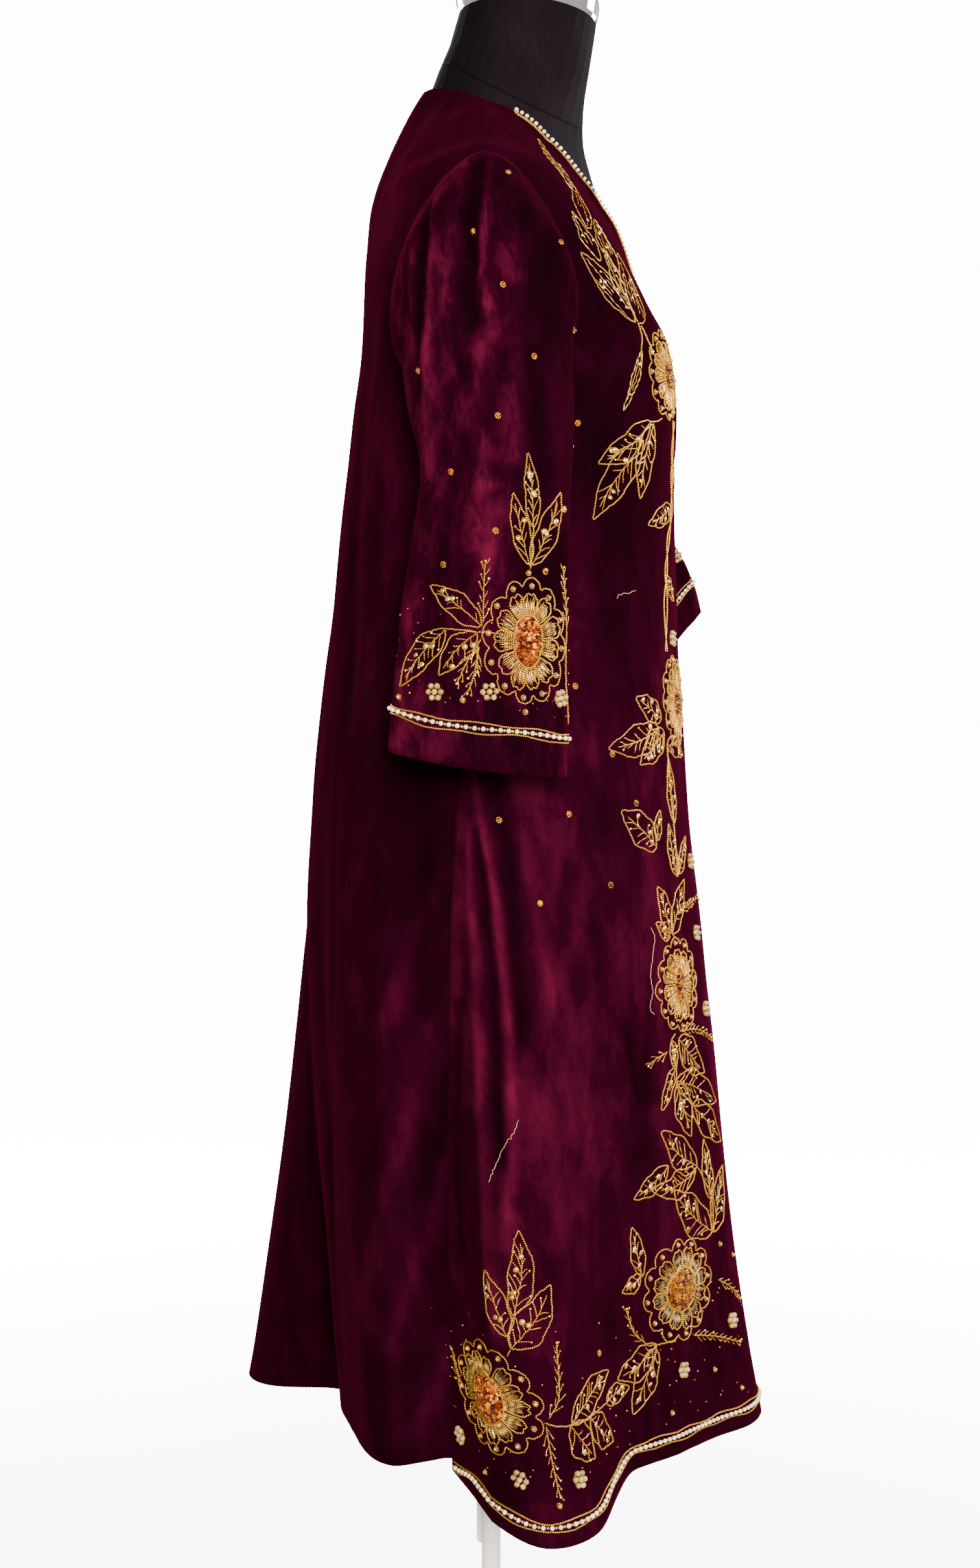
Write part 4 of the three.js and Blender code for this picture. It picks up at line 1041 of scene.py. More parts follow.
# ---------------------------------------------------------------- metal threads, beads and stones
def make_cord(name, pitch, dark, middle, bright, roughness, metallic=0.75):
    # Strands twisted together: a wave that winds round the cord once in each pitch, in millimetres.
    material, tree = new_material(name)
    place = add_node(tree, "UVMap", {"uv_map": "cloth"})
    parts = add_node(tree, "SeparateXYZ", None, {0: place}).outputs
    turns = add_node(tree, "Math", {"operation": "MULTIPLY_ADD", 1: 1000 / pitch},
                     {0: parts["X"], 2: parts["Y"]})
    angle = add_node(tree, "Math", {"operation": "MULTIPLY", 1: 2 * math.pi}, {0: turns})
    wave = add_node(tree, "Math", {"operation": "SINE"}, {0: angle})
    strands = add_node(tree, "MapRange", {"From Min": -1.0}, {"Value": wave})
    # The colour runs from dark in the grooves between strands, a painted shade, to bright on their
    # crowns, a painted highlight.
    stops = [(0.0, dark), (0.45, middle), (1.0, bright)]
    tint = add_node(tree, "ValToRGB", {"stops": stops}, {"Fac": strands})
    bump = add_node(tree, "Bump", {"Strength": 0.8, "Distance": 0.0004}, {"Height": strands})
    finish_material(tree, {"Metallic": metallic, "Roughness": roughness,
                           "Specular Tint": colour(bright)}, {"Base Color": tint, "Normal": bump})
    return material


# Zari cord: gilt wire wound on a cotton core, two strands twisted; warm, with a soft glitter that is
# partly painted highlight on the strands.
gold_cord = make_cord("twisted gilt zari cord", 1.7, "#3a1a04", "#b8680a", "#ffc848", 0.32)
# Flat silver-gilt thread laid in parallel stitches; paler and smoother than the cord.
pale_thread = make_cord("silver gilt couching thread", 7.0, "#64441a", "#c08e44", "#ffd074", 0.3)
# Silver thread painted dark and grey, as painted shade: the darkest petals, and the gaps between the
# bright strands.
shaded_silver_thread = make_cord("silver thread painted in shade", 7.0, "#241a12", "#6a563c", "#c4a474", 0.34)
# Loose ends of plain cotton thread, unbleached and matt.
cotton = make_cord("unbleached cotton thread", 2.6, "#8a5c34", "#c4905c", "#ecc494", 0.8, 0.0)


def make_pearl(name, dark, middle, bright):
    # Glass pearl: milky body under a thin pearly lacquer, with a small sharp highlight.
    material, tree = new_material(name)
    place = add_node(tree, "TexCoord").outputs["Object"]
    cloud = add_node(tree, "TexNoise", {"Scale": 260.0, "Detail": 1.0}, {"Vector": place})
    stops = [(0.3, dark), (0.55, middle), (0.8, bright)]
    tint = add_node(tree, "ValToRGB", {"stops": stops}, {"Fac": cloud})
    finish_material(tree, {"Roughness": 0.22, "Coat Weight": 0.6, "Coat Roughness": 0.08},
                    {"Base Color": tint})
    return material


def make_granules(name, specular, *tints):
    # Cracked glass granules glued in a heap, each about 3 mm: dark ones, and clear bright ones.
    material, tree = new_material(name)
    place = add_node(tree, "TexCoord").outputs["Object"]
    grains = add_node(tree, "TexVoronoi", {"Scale": 330.0}, {"Vector": place}).outputs["Color"]
    pick = add_node(tree, "SeparateColor", None, {0: grains})
    stops = list(zip((0.0, 0.35, 0.7, 1.0), tints))
    tint = add_node(tree, "ValToRGB", {"stops": stops}, {"Fac": pick})
    finish_material(tree, {"Roughness": 0.2, "Specular IOR Level": specular}, {"Base Color": tint})
    return material


def make_sequin():
    # Cupped plastic sequin with a vacuum gilt face, a little paler on some than on others.
    material, tree = new_material("gilt plastic sequin")
    place = add_node(tree, "TexCoord").outputs["Object"]
    cloud = add_node(tree, "TexNoise", {"Scale": 140.0}, {"Vector": place})
    stops = [(0.35, "#e4a838"), (0.55, "#ffd868"), (0.75, "#fff2bc")]
    tint = add_node(tree, "ValToRGB", {"stops": stops}, {"Fac": cloud})
    finish_material(tree, {"Metallic": 0.9, "Roughness": 0.18}, {"Base Color": tint})
    return material


white_pearl = make_pearl("cream lacquered glass pearl", "#c8a878", "#ecd2a6", "#fff0cc")
dark_pearl = make_pearl("champagne lacquered glass pearl", "#6c4c20", "#a47c3c", "#e0b870")
amber = make_granules("amber glass granules", 0.22, "#280a00", "#642200", "#984400", "#e08a0c")
honey = make_granules("honey glass granules", 0.12, "#241000", "#4e2400", "#7a3e00", "#b06a00")
WORK_MATERIALS = [gold_cord, pale_thread, white_pearl, amber, make_sequin(), dark_pearl, cotton,
                  shaded_silver_thread, honey]
GOLD, PALE, PEARL, AMBER, SEQUIN, CHAMPAGNE, COTTON, SHADED_SILVER, HONEY = range(9)


def ball_template(subdivisions):
    """Points and triangles of a round ball of radius 1."""
    ball = bmesh.new()
    bmesh.ops.create_icosphere(ball, subdivisions=subdivisions, radius=1.0)
    points = np.array([vertex.co[:] for vertex in ball.verts])
    faces = np.array([[vertex.index for vertex in face.verts] for face in ball.faces])
    ball.free()
    return points, faces


def sequin_template():
    """Points and triangles of a sequin of radius 1, flat below and domed above."""
    sides, rim, crown = 10, 0.12, 0.3
    points = [[math.cos(a), math.sin(a), height] for height in (0.0, rim)
              for a in np.radians(np.arange(0, 360, 360 // sides))]
    points += [[0, 0, 0.0], [0, 0, crown]]
    faces = []
    for i in range(sides):
        n = (i + 1) % sides
        faces += [[i, n, sides + n], [i, sides + n, sides + i],
                  [sides + i, sides + n, 2 * sides + 1], [n, i, 2 * sides]]
    return np.array(points), np.array(faces)


PEARL_BALL = ball_template(2)
GRAIN_BALL = ball_template(1)
DISC = sequin_template()
DISC_TIP = np.array([0.3, 0.2, 1.0])    # the way in which a tilted sequin tips
THREAD_SIDES = 5
THREAD_END = 0.55                       # a thread narrows to this share at its two ends


class Needlework:
    """Threads and beads laid out on the flat cloth, sewn on to a ground as one piece."""

    def __init__(self):
        self.threads, self.beads = [], []

    def thread(self, points, radius, finish=GOLD, lift=None, step=1.9, shake=0.25):
        path = smooth_path(points, step)
        if shake:
            path[1:-1] += rng.normal(0, shake, path[1:-1].shape)
        self.threads.append((path, radius, finish, radius * 0.75 if lift is None else lift))

    def bead(self, x, y, size, finish=PEARL, lift=None, shape=PEARL_BALL, stretch=(1, 1, 1), tilt=0.0):
        lift = size * 0.8 if lift is None else lift
        self.beads.append((x, y, size, finish, lift, shape, stretch, tilt))

    def sew(self, name, ground, mirror, nodes):
        """Lays the work on the cloth, with x turned over by a mirror of -1, and makes the piece."""
        mesh = Mesh()
        every = np.concatenate([path for path, *_ in self.threads])
        points, normals = ground.point_and_normal(every[:, 0] * mirror, every[:, 1])
        start = 0
        for path, radius, finish, lift in self.threads:
            stop = start + len(path)
            self.tube(mesh, points[start:stop] + normals[start:stop] * lift, normals[start:stop],
                      radius, finish)
            start = stop
        spots = np.array([bead[:2] for bead in self.beads])
        points, normals = ground.point_and_normal(spots[:, 0] * mirror, spots[:, 1])
        for bead, point, normal in zip(self.beads, points, normals):
            size, finish, lift, (solid, faces), stretch, tilt = bead[2:]
            up = unit(normal + tilt * DISC_TIP)
            across = unit(np.cross((0.0, 0.0, 1.0), up))
            axes = np.stack([across, np.cross(up, across), up])
            placed = (solid * np.array(stretch) * size) @ axes + point + normal * lift
            mesh.add(placed, faces, np.zeros((len(faces) * 3, 2)), finish)
        piece = mesh.make(name, WORK_MATERIALS)
        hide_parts(*nodes)

    @staticmethod
    def tube(mesh, middle, normals, radius, finish):
        """Closed tube along a row of points; its flat places run in metres and in turns."""
        count, sides = len(middle), THREAD_SIDES
        along = unit(np.gradient(middle, axis=0))
        across = unit(np.cross(normals, along))
        upward = np.cross(along, across)
        turns = 2 * math.pi * np.arange(sides) / sides
        thick = np.full(count, radius)
        thick[[0, -1]] *= THREAD_END
        right, up = (way(turns)[None, :, None] * thick[:, None, None] for way in (np.cos, np.sin))
        rings = middle[:, None] + across[:, None] * right + upward[:, None] * up
        lengths = run_lengths(middle) * MM
        r, c = np.divmod(np.arange((count - 1) * sides), sides)
        low, high = r * sides, (r + 1) * sides
        n = (c + 1) % sides
        quads = np.stack([low + n, high + n, high + c, low + c], axis=1)
        corners = [(lengths[r], (c + 1) / sides), (lengths[r + 1], (c + 1) / sides),
                   (lengths[r + 1], c / sides), (lengths[r], c / sides)]
        places = np.stack([np.stack(corner, axis=1) for corner in corners], axis=1)
        first = mesh.count
        mesh.add(rings.reshape(-1, 3), quads, places, finish)
        mesh.faces.append(list(range(first, first + sides)))
        mesh.faces.append(list(range(mesh.count - 1, mesh.count - sides - 1, -1)))
        mesh.places.append(np.zeros((2 * sides, 2)))
        mesh.slots.extend([finish] * 2)


# ---------------------------------------------------------------- motifs, drawn on the flat cloth
CORD = 0.64                   # radius of the outline cord
BAND_CORD = CORD + 0.05
RIB = 0.5
RINGED_PEARL = 1.55
ROSETTE = 4.9                 # radius of its ring, on which six pearls sit
SPRIG_BRANCH = 9.0            # length of a side branch near the foot of a sprig
SPRIG_SPREAD = 27             # degrees between a branch and the stem
BAND_WIDTH = 7.0              # between the two cords of a beaded band
PEARL_PITCH = 3.1             # from one bead of a band to the next
SCALLOPS = 12                 # round the frill of a flower
SCALLOP_TURN = 0.2
GOLDEN_TURN = 2.39996         # radians from one granule of a stone to the next


def turned(vector, degrees):
    c, s = math.cos(math.radians(degrees)), math.sin(math.radians(degrees))
    return np.array([vector[0] * c - vector[1] * s, vector[0] * s + vector[1] * c])


def oval(x, y, across, tall, angles):
    return np.stack([x + across * np.cos(angles), y + tall * np.sin(angles)], axis=-1)


def either(share, first, second):
    """The first of two finishes by chance, in a share of the cases, and otherwise the second."""
    return first if rng.random() < share else second


def add_stem(work, *points):
    work.thread(points, CORD)


def add_loose_end(work, *points):
    work.thread(points, 0.24, COTTON, lift=1.5, shake=0.35)


def add_leaf(work, base, tip, width):
    """Pointed leaf: wavy cord outline, a rib, veins that stop short of the edge, and sequins."""
    base, tip = np.array(base, float), np.array(tip, float)
    axis = tip - base
    length = np.linalg.norm(axis)
    side = turned(axis / length, 90)
    u = np.linspace(0, 1, 15)
    sway = rng.uniform(-0.07, 0.07) * length
    phase = rng.uniform(0, 6.28, 2)
    middle = base + axis * u[:, None] + side * (sway * np.sin(math.pi * u))[:, None]
    half = width / 2 * np.sin(math.pi * u ** 0.82) ** 0.85
    edges = [middle + sign * side * (half * (1 + 0.09 * np.sin(u * 15 + shift)))[:, None]
             for sign, shift in zip((1, -1), phase)]
    work.thread(np.concatenate([edges[0], edges[1][-2::-1]]), CORD, step=1.7, shake=0.22)
    work.thread(middle[:13], RIB, step=2.2)
    count = max(int(length / 8.5), 3)
    for k in range(count):
        for sign, edge in zip((1, -1), edges):
            if rng.random() < 0.15:
                continue
            at = 0.08 + 0.68 * (k + 0.45 * (sign > 0) + rng.uniform(-0.15, 0.15)) / count
            start = base + axis * at + side * sway * math.sin(math.pi * at)
            out = min(at + rng.uniform(0.12, 0.24), 0.95)
            rim = np.array([np.interp(out, u, edge[:, i]) for i in (0, 1)])
            end = start + (rim - start) * rng.uniform(0.5, 0.95)
            bow = (start + end) / 2 + axis / length * rng.uniform(0, 1.6)
            work.thread([start, bow, end], rng.uniform(0.34, 0.55), either(0.7, GOLD, PALE),
                        step=2.4, shake=0.15)
            if rng.random() < 0.3:
                work.bead(*end, rng.uniform(0.9, 1.3), SEQUIN, shape=GRAIN_BALL)
    for _ in range(rng.integers(2, 5)):
        at, out = rng.uniform(0.2, 0.8), rng.uniform(-0.6, 0.6)
        spot = base + axis * at + side * out * np.interp(at, u, half)
        work.bead(*spot, rng.uniform(1.9, 2.5), SEQUIN, 1.1, DISC, tilt=rng.uniform(-0.35, 0.35))


def add_laid_leaf(work, base, tip, width):
    """Leaf filled with long threads that fan out from its foot, with sequins among them."""
    base, tip = np.array(base, float), np.array(tip, float)
    axis = tip - base
    side = turned(axis / np.linalg.norm(axis), 90)
    u = np.linspace(0, 1, 13)
    half = width / 2 * np.sin(math.pi * u ** 0.8) ** 0.8
    for share in np.linspace(-1, 1, max(int(width / 3.8), 4)):
        outer = abs(share) > 0.99
        start, stop = (0, len(u)) if outer else (rng.integers(0, 6), rng.integers(8, len(u)))
        bow = half * share * (1 + rng.uniform(0.05, 0.16) * np.sin(u * 11 + share * 9))
        path = base + axis * u[:, None] + side * bow[:, None]
        work.thread(path[start:stop], CORD * 0.8 if outer else rng.uniform(0.28, 0.44),
                    either(0.55, GOLD, PALE), shake=0.4)
    for _ in range(max(int(width / 3), 2)):
        at, out = rng.uniform(0.2, 0.9), rng.uniform(-0.8, 0.8)
        spot = base + axis * at + side * out * np.interp(at, u, half)
        work.bead(*spot, rng.uniform(0.9, 1.8), SEQUIN, 1.3, DISC, tilt=rng.uniform(-0.5, 0.5))


def add_sprig(work, *points):
    """Stem with short side branches, most of them ended by a bead."""
    stem = smooth_path(points, 2.0)
    work.thread(points, 0.62, shake=0.15)
    for number, i in enumerate(range(1, len(stem) - 1, 2)):
        ahead = unit(stem[i + 1] - stem[i - 1])
        reach = SPRIG_BRANCH * (1 - 0.45 * i / len(stem)) * rng.uniform(0.8, 1.15)
        end = stem[i] + turned(ahead, SPRIG_SPREAD if number % 2 else -SPRIG_SPREAD) * reach
        work.thread([stem[i], (stem[i] + end) / 2 - ahead * 0.8, end], 0.4,
                    PALE if number % 3 == 0 else GOLD, shake=0.1)
        if rng.random() < 0.6:
            work.bead(*end, rng.uniform(0.8, 1.3), GOLD if number % 2 else SEQUIN, shape=GRAIN_BALL)
    work.bead(*stem[-1], 1.3, SEQUIN, shape=GRAIN_BALL)


def add_ring(work, x, y, size, turn_step, radius, lift=None):
    """Ring of thread of a given size, with a point at every step of the turn, in degrees."""
    angles = np.radians(np.arange(0, 361, turn_step))
    work.thread(oval(x, y, size, size, angles), radius, shake=0.0, lift=lift)


def add_rosette(work, x, y):
    """Six pearls round one, on a ring of thin thread."""
    for i in range(6):
        work.bead(*((x, y) + turned((ROSETTE, 0), 60 * i + 10)), 2.25, CHAMPAGNE)
    work.bead(x, y, 2.4, CHAMPAGNE)
    add_ring(work, x, y, ROSETTE, 24, 0.45, 0.3)


def add_ringed_pearl(work, x, y):
    work.bead(x, y, RINGED_PEARL, CHAMPAGNE)
    add_ring(work, x, y, RINGED_PEARL + 0.5, 40, 0.42, 0.35)


def add_stud(work, x, y):
    """Amber bead in a small gilt cup."""
    add_ring(work, x, y, 2.1, 36, 0.75)
    work.bead(x, y, 1.9, AMBER, 0.6)


def add_frill(work, x, y, across, tall):
    """Scalloped cord round a flower, with a ringed pearl in each scallop."""
    angles = np.linspace(0, 2 * math.pi, SCALLOPS * 9 + 1) + SCALLOP_TURN
    wave = np.abs(np.sin(SCALLOPS * (angles - SCALLOP_TURN) / 2)) ** 0.75
    frill = 0.85 + 0.15 * wave + 0.02 * np.sin(3 * angles + x)
    work.thread(oval(x, y, across * frill, tall * frill, angles), CORD, step=1.7, shake=0.2)
    for i in range(SCALLOPS):
        middle = 2 * math.pi * (i + 0.5) / SCALLOPS + SCALLOP_TURN
        add_ringed_pearl(work, *oval(x, y, across * 0.885, tall * 0.885, middle))


def add_stone(work, x, y, across, tall, granules):
    """Heap of glass granules on a pad, inside a thick cord."""
    rim = np.linspace(0, 2 * math.pi, 41)
    work.thread(oval(x, y, across, tall, rim), 0.95, step=1.8, lift=1.4)
    count = int(across * tall / 2.6)
    for i in range(count):
        out = math.sqrt((i + 0.5) / count)
        spot = oval(x, y, across * 0.93 * out, tall * 0.93 * out, i * GOLDEN_TURN)
        work.bead(*(spot + rng.normal(0, 0.3, 2)), rng.uniform(1.25, 2.0), granules,
                  1.0 + 2.2 * (1 - out ** 2), GRAIN_BALL, tuple(rng.uniform(0.8, 1.25, 3)))
    work.bead(x, y, 1.0, granules, 0.4, PEARL_BALL, (across, tall, 1.6))


def add_flower(work, x, y, across, tall, petals, stone, laid, share_laid, granules):
    """Padded flower: a stone, fan petals of laid thread, and a scalloped frill of pearls."""
    add_frill(work, x, y, across, tall)
    for i in range(petals):
        middle = 2 * math.pi * (i + 0.5) / petals + 0.1 + rng.uniform(-0.04, 0.04)
        half = math.pi / petals * rng.uniform(0.87, 0.94)
        far = 0.79 * rng.uniform(0.94, 1.05)
        # The petal's outline: from the stone up one side, over its two-lobed tip and back.
        fan = np.linspace(-1, 1, 21)
        lobes = 1 - 0.05 * np.abs(np.cos(1.5 * math.pi * fan)) ** 2 - 0.2 * fan ** 6
        tip = oval(x, y, across * far * lobes, tall * far * lobes, middle + half * fan)
        feet = [oval(x, y, *stone, middle + half * end * 0.9) for end in (-1, 1)]
        neck = [foot + (end - foot) * 0.55 for foot, end in zip(feet, (tip[0], tip[-1]))]
        work.thread(np.concatenate([[feet[0], neck[0]], tip, [neck[1], feet[1]]]), 0.68,
                    step=1.7, shake=0.12, lift=1.3)
        # Laid strands fan out from the stone, edge to edge, over a crown in the middle.
        strands = max(int(half * 0.8 * (across + tall) / 1.9), 5)
        for k in range(strands):
            share = -0.84 + 1.68 * k / (strands - 1) + rng.uniform(-0.04, 0.04)
            start = oval(x, y, *stone, middle + half * share * 0.95)
            reach = np.interp(share, fan, lobes) * far * rng.uniform(0.82, 0.98)
            end = oval(x, y, across * reach, tall * reach, middle + half * share * 0.92)
            crown = (start + end) / 2 + rng.normal(0, 0.25, 2)
            work.thread([start, crown, end], rng.uniform(0.42, 0.58), either(share_laid, laid, GOLD),
                        step=4.2, shake=0.0, lift=1.1 - 0.4 * abs(share))
            if k:
                # A short strand painted in shade fills the gap that opens towards the rim of the petal.
                between = middle + half * (share - 0.84 / (strands - 1)) * 0.92
                inner, outer = far * 0.62, reach * rng.uniform(0.93, 1.0)
                ends = [oval(x, y, across * out, tall * out, between) for out in (inner, outer)]
                work.thread(ends, 0.5, SHADED_SILVER, step=6.0, shake=0.0, lift=0.55)
    add_stone(work, x, y, *stone, granules)


def add_band(work, path):
    """Pearls, large and small by turns, between two wavy cords."""
    line = smooth_path(path, PEARL_PITCH)
    ahead = unit(np.gradient(line, axis=0))
    side = np.stack([-ahead[:, 1], ahead[:, 0]], axis=1)
    beat = np.arange(len(line))
    for sign, shift in ((1, 0.0), (-1, 2.2)):
        wave = 0.7 * np.sin(beat * 0.42 + shift) + 0.6 * np.sin(beat * 0.17 + 2 * shift)
        work.thread(line + side * (sign * BAND_WIDTH / 2 + wave)[:, None], BAND_CORD,
                    step=1.8, shake=0.1)
    for i, spot in enumerate(line):
        work.bead(*spot, *((1.1, CHAMPAGNE, 0.9) if i % 2 else (1.8, PEARL, 1.4)))


def sprinkle(work, count, across, thin, border):
    """Tiny grains scattered over the cloth, thinly at one height and thickly near a border."""
    for _ in range(count):
        x, y = rng.uniform(*across), thin + (border - thin) * rng.power(1.6)
        work.bead(x, y, rng.uniform(0.5, 0.8), either(0.6, AMBER, CHAMPAGNE), shape=GRAIN_BALL)


# ---------------------------------------------------------------- layout of the right half
# All places are on the flat cloth: distance from the centre front, and height. A leaf has its
# base, tip and width, a sprig or stem the points along it, and what is round its middle.
FRONT_LEAVES = [
    ((131, 1100), (187, 1061), 23), ((140, 1084), (192, 1017), 25), ((126, 1099), (143, 1037), 26),
    ((76, 1038), (130, 1018), 17), ((73, 1078), (47, 1058), 13), ((95, 980), (66, 962), 14),
    ((126, 863), (164, 879), 20), ((132, 855), (199, 838), 25), ((121, 852), (165, 826), 24),
    ((116, 842), (56, 835), 18),
    ((104, 779), (113, 832), 22), ((148, 761), (190, 790), 27), ((145, 766), (137, 790), 14),
    ((106, 736), (121, 779), 22), ((102, 738), (70, 768), 15), ((129, 692), (153, 730), 24),
    ((127, 691), (90, 733), 22), ((132, 689), (160, 702), 13),
    ((127, 607), (76, 574), 28), ((140, 607), (133, 582), 13), ((132, 584), (161, 554), 17),
    ((133, 574), (50, 547), 28), ((132, 571), (108, 526), 28), ((105, 551), (42, 512), 26),
    ((99, 500), (161, 537), 28), ((102, 497), (173, 492), 22), ((153, 509), (195, 488), 16),
    ((74, 468), (84, 520), 20), ((78, 443), (142, 487), 32), ((76, 442), (42, 492), 30),
    ((188, 426), (199, 467), 17), ((190, 428), (213, 418), 13),
    ((175, 370), (225, 353), 24), ((175, 367), (209, 322), 27),
    ((303, 339), (237, 363), 23), ((304, 338), (280, 308), 28), ((278, 338), (242, 310), 25),
    ((246, 340), (211, 344), 15),
    ((335, 420), (322, 482), 19), ((343, 404), (354, 451), 20), ((341, 396), (303, 441), 24),
]
# Leaves filled with long threads, by the neck.
FRONT_LAID = [
    ((126, 1286), (107, 1334), 13), ((148, 1250), (113, 1296), 17), ((158, 1222), (157, 1262), 18),
    ((139, 1218), (119, 1264), 24), ((147, 1176), (177, 1226), 27), ((143, 1176), (106, 1240), 28),
    ((150, 1186), (140, 1236), 16), ((143, 1155), (167, 1104), 8),
]
# Flowers: middle, half width and half height, petals, half sizes of the stone, the thread laid
# in the petals and its share there (the rest is gold), and the granules of the stone.
FRONT_FLOWERS = {
    "vine_flower_1": (98, 1142, 37, 36, 11, (9, 12), PALE, 0.25, HONEY),
    "vine_flower_2": (82, 879, 38, 38, 11, (9, 13), PALE, 0.35, HONEY),
    "vine_flower_3": (121, 650, 43, 38, 11, (9, 14), PALE, 0.35, HONEY),
    "vine_flower_4": (137, 407, 52, 41, 12, (22, 17), SHADED_SILVER, 0.85, HONEY),
    "hem_flower": (374, 355, 50, 40, 13, (19, 17.5), PALE, 0.9, AMBER),
}
FRONT_SPRIGS = [
    [(113, 706), (86, 712), (50, 716)],
    [(122, 613), (85, 610), (52, 600)], [(150, 599), (164, 596), (174, 590)],
    [(73, 402), (54, 393), (32, 378)], [(120, 366), (83, 357), (48, 345)],
    [(185, 371), (202, 385), (210, 405)], [(322, 346), (310, 362), (305, 399)],
    [(325, 341), (326, 318), (326, 290)], [(417, 352), (425, 362), (426, 378)],
]
FRONT_STEMS = [
    [(70, 1110), (76, 1086), (69, 1062), (77, 1036), (82, 1012), (96, 985), (93, 958), (106, 918)],
    [(77, 1110), (69, 1086), (76, 1062), (70, 1036), (89, 1012), (90, 985), (102, 958), (102, 918)],
    [(140, 1175), (128, 1160), (118, 1150)], [(144, 1176), (141, 1166), (144, 1154)],
    [(110, 1106), (120, 1102), (131, 1100)],
    [(104, 779), (110, 800), (112, 830)], [(116, 842), (110, 800), (105, 760), (106, 736)],
    [(127, 691), (122, 688), (118, 686)], [(133, 612), (140, 607)],
    [(132, 584), (136, 596), (140, 607)], [(105, 551), (120, 562), (133, 574)],
    [(76, 442), (74, 468), (90, 490), (99, 500)],
    [(185, 371), (175, 370), (150, 368)], [(326, 343), (317, 340), (304, 338), (278, 338), (246, 340)],
    [(341, 396), (345, 390)], [(335, 420), (340, 408), (341, 396)],
]
FRONT_ROSETTES = [(434, 313), (353, 302), (306, 299), (142, 343), (57, 365), (61, 747), (66, 688),
                  (63, 625), (83, 930)]
FRONT_PEARLS = [(90, 331), (54, 308), (160, 312), (65, 430), (39, 416), (393, 298), (328, 284)]
FRONT_STUDS = [(250, 379), (120, 452), (196, 834), (174, 796), (206, 733), (274, 721), (242, 788),
               (298, 784), (207, 1091), (224, 886)]
LOOSE_ENDS = [
    [(173, 956), (169, 960), (160, 961), (152, 964)], [(311, 562), (318, 550), (329, 535), (339, 516)],
    [(167, 699), (164, 689), (169, 664), (168, 648), (171, 636), (167, 630)],
]

# The sleeve: distance ahead of its outer line, and distance above the cuff.
CUFF_LEAVES = [
    ((34, 183), (25, 238), 12), ((34, 155), (16, 207), 15), ((36, 155), (55, 212), 19),
    ((-1, 105), (-44, 129), 19), ((-4, 100), (-31, 64), 18), ((-28, 99), (-65, 50), 20),
]
CUFF_BLOOM = (35, 98, 35, 47, 11, (12.5, 19.5), PALE, 0.55, AMBER)
CUFF_SPRIGS = [
    [(0, 108), (-1, 130), (-1, 152)], [(-1, 96), (-10, 78), (-17, 60)], [(-2, 90), (-5, 68), (-9, 54)],
    [(-3, 91), (-3, 80), (-2, 71)], [(71, 110), (69, 133), (66, 157)],
]
CUFF_STEMS = [[(76, 39), (72, 75), (71, 110)], [(-4, 100), (4, 101), (26, 99)],
              [(-28, 99), (-14, 100), (-4, 100)], [(35, 152), (35, 160), (34, 184)]]
CUFF_ROSETTES = [(-33, 51), (7, 58), (66, 58), (99, 62)]
CUFF_PEARLS = [(-65, 42), (35, 46), (-12, 49), (34, 149), (90, 80), (106, 78)]
SLEEVE_STUDS = [(19, 479), (-11, 409), (11, 365), (-67, 292), (34, 312), (2, 263), (-35, 216), (4, 176),
                (-35, 146), (48, 152), (92, 250), (95, 340), (70, 410), (-92, 215), (60, 200)]

FRONT_MOTIFS = [
    (add_leaf, FRONT_LEAVES), (add_laid_leaf, FRONT_LAID), (add_flower, FRONT_FLOWERS.values()),
    (add_sprig, FRONT_SPRIGS), (add_stem, FRONT_STEMS), (add_rosette, FRONT_ROSETTES),
    (add_ringed_pearl, FRONT_PEARLS), (add_stud, FRONT_STUDS),
]
CUFF_MOTIFS = [
    (add_leaf, CUFF_LEAVES), (add_flower, [CUFF_BLOOM]), (add_sprig, CUFF_SPRIGS),
    (add_stem, CUFF_STEMS), (add_rosette, CUFF_ROSETTES), (add_ringed_pearl, CUFF_PEARLS),
    (add_stud, SLEEVE_STUDS),
]


# ---------------------------------------------------------------- embroidered pieces
CUFF_BAND_ROW = -8            # row of the sleeve's flat map that the cuff band goes round
HEM_BAND_REACH = 102.5        # degrees from the centre front to either end of the hem band
HEM_BAND_DROP = 9.0           # how much nearer to the hem its two ends lie


def add_motifs(work, motifs):
    for add_motif, rows in motifs:
        for row in rows:
            add_motif(work, *row)


def sew_front(side, mirror):
    work = Needlework()
    add_motifs(work, FRONT_MOTIFS)
    if side == "right":
        add_motifs(work, [(add_loose_end, LOOSE_ENDS)])
    sprinkle(work, 110, (20, 440), thin=420, border=300)
    work.sew(f"front_embroidery_{side}", body_ground, mirror,
             [f"{flower}_{side}" for flower in FRONT_FLOWERS])


def sew_cuff(side):
    work = Needlework()
    add_motifs(work, CUFF_MOTIFS)
    sprinkle(work, 70, (-90, 90), thin=120, border=42)
    work.sew(f"cuff_embroidery_{side}", sleeve_grounds[side], 1, [f"cuff_flower_{side}"])


def sew_cuff_band(side):
    work = Needlework()
    around = sleeve_grounds[side].arcs[CUFF_BAND_ROW]
    x = np.linspace(around[0] + 2, around[-1] - 2, 60)
    add_band(work, np.stack([x, CUFF_BAND_RISE[side] + 1.5 * np.sin(x / 22) - 0.02 * x], axis=1))
    work.sew(f"cuff_band_work_{side}", sleeve_grounds[side], 1, [f"cuff_band_{side}"])


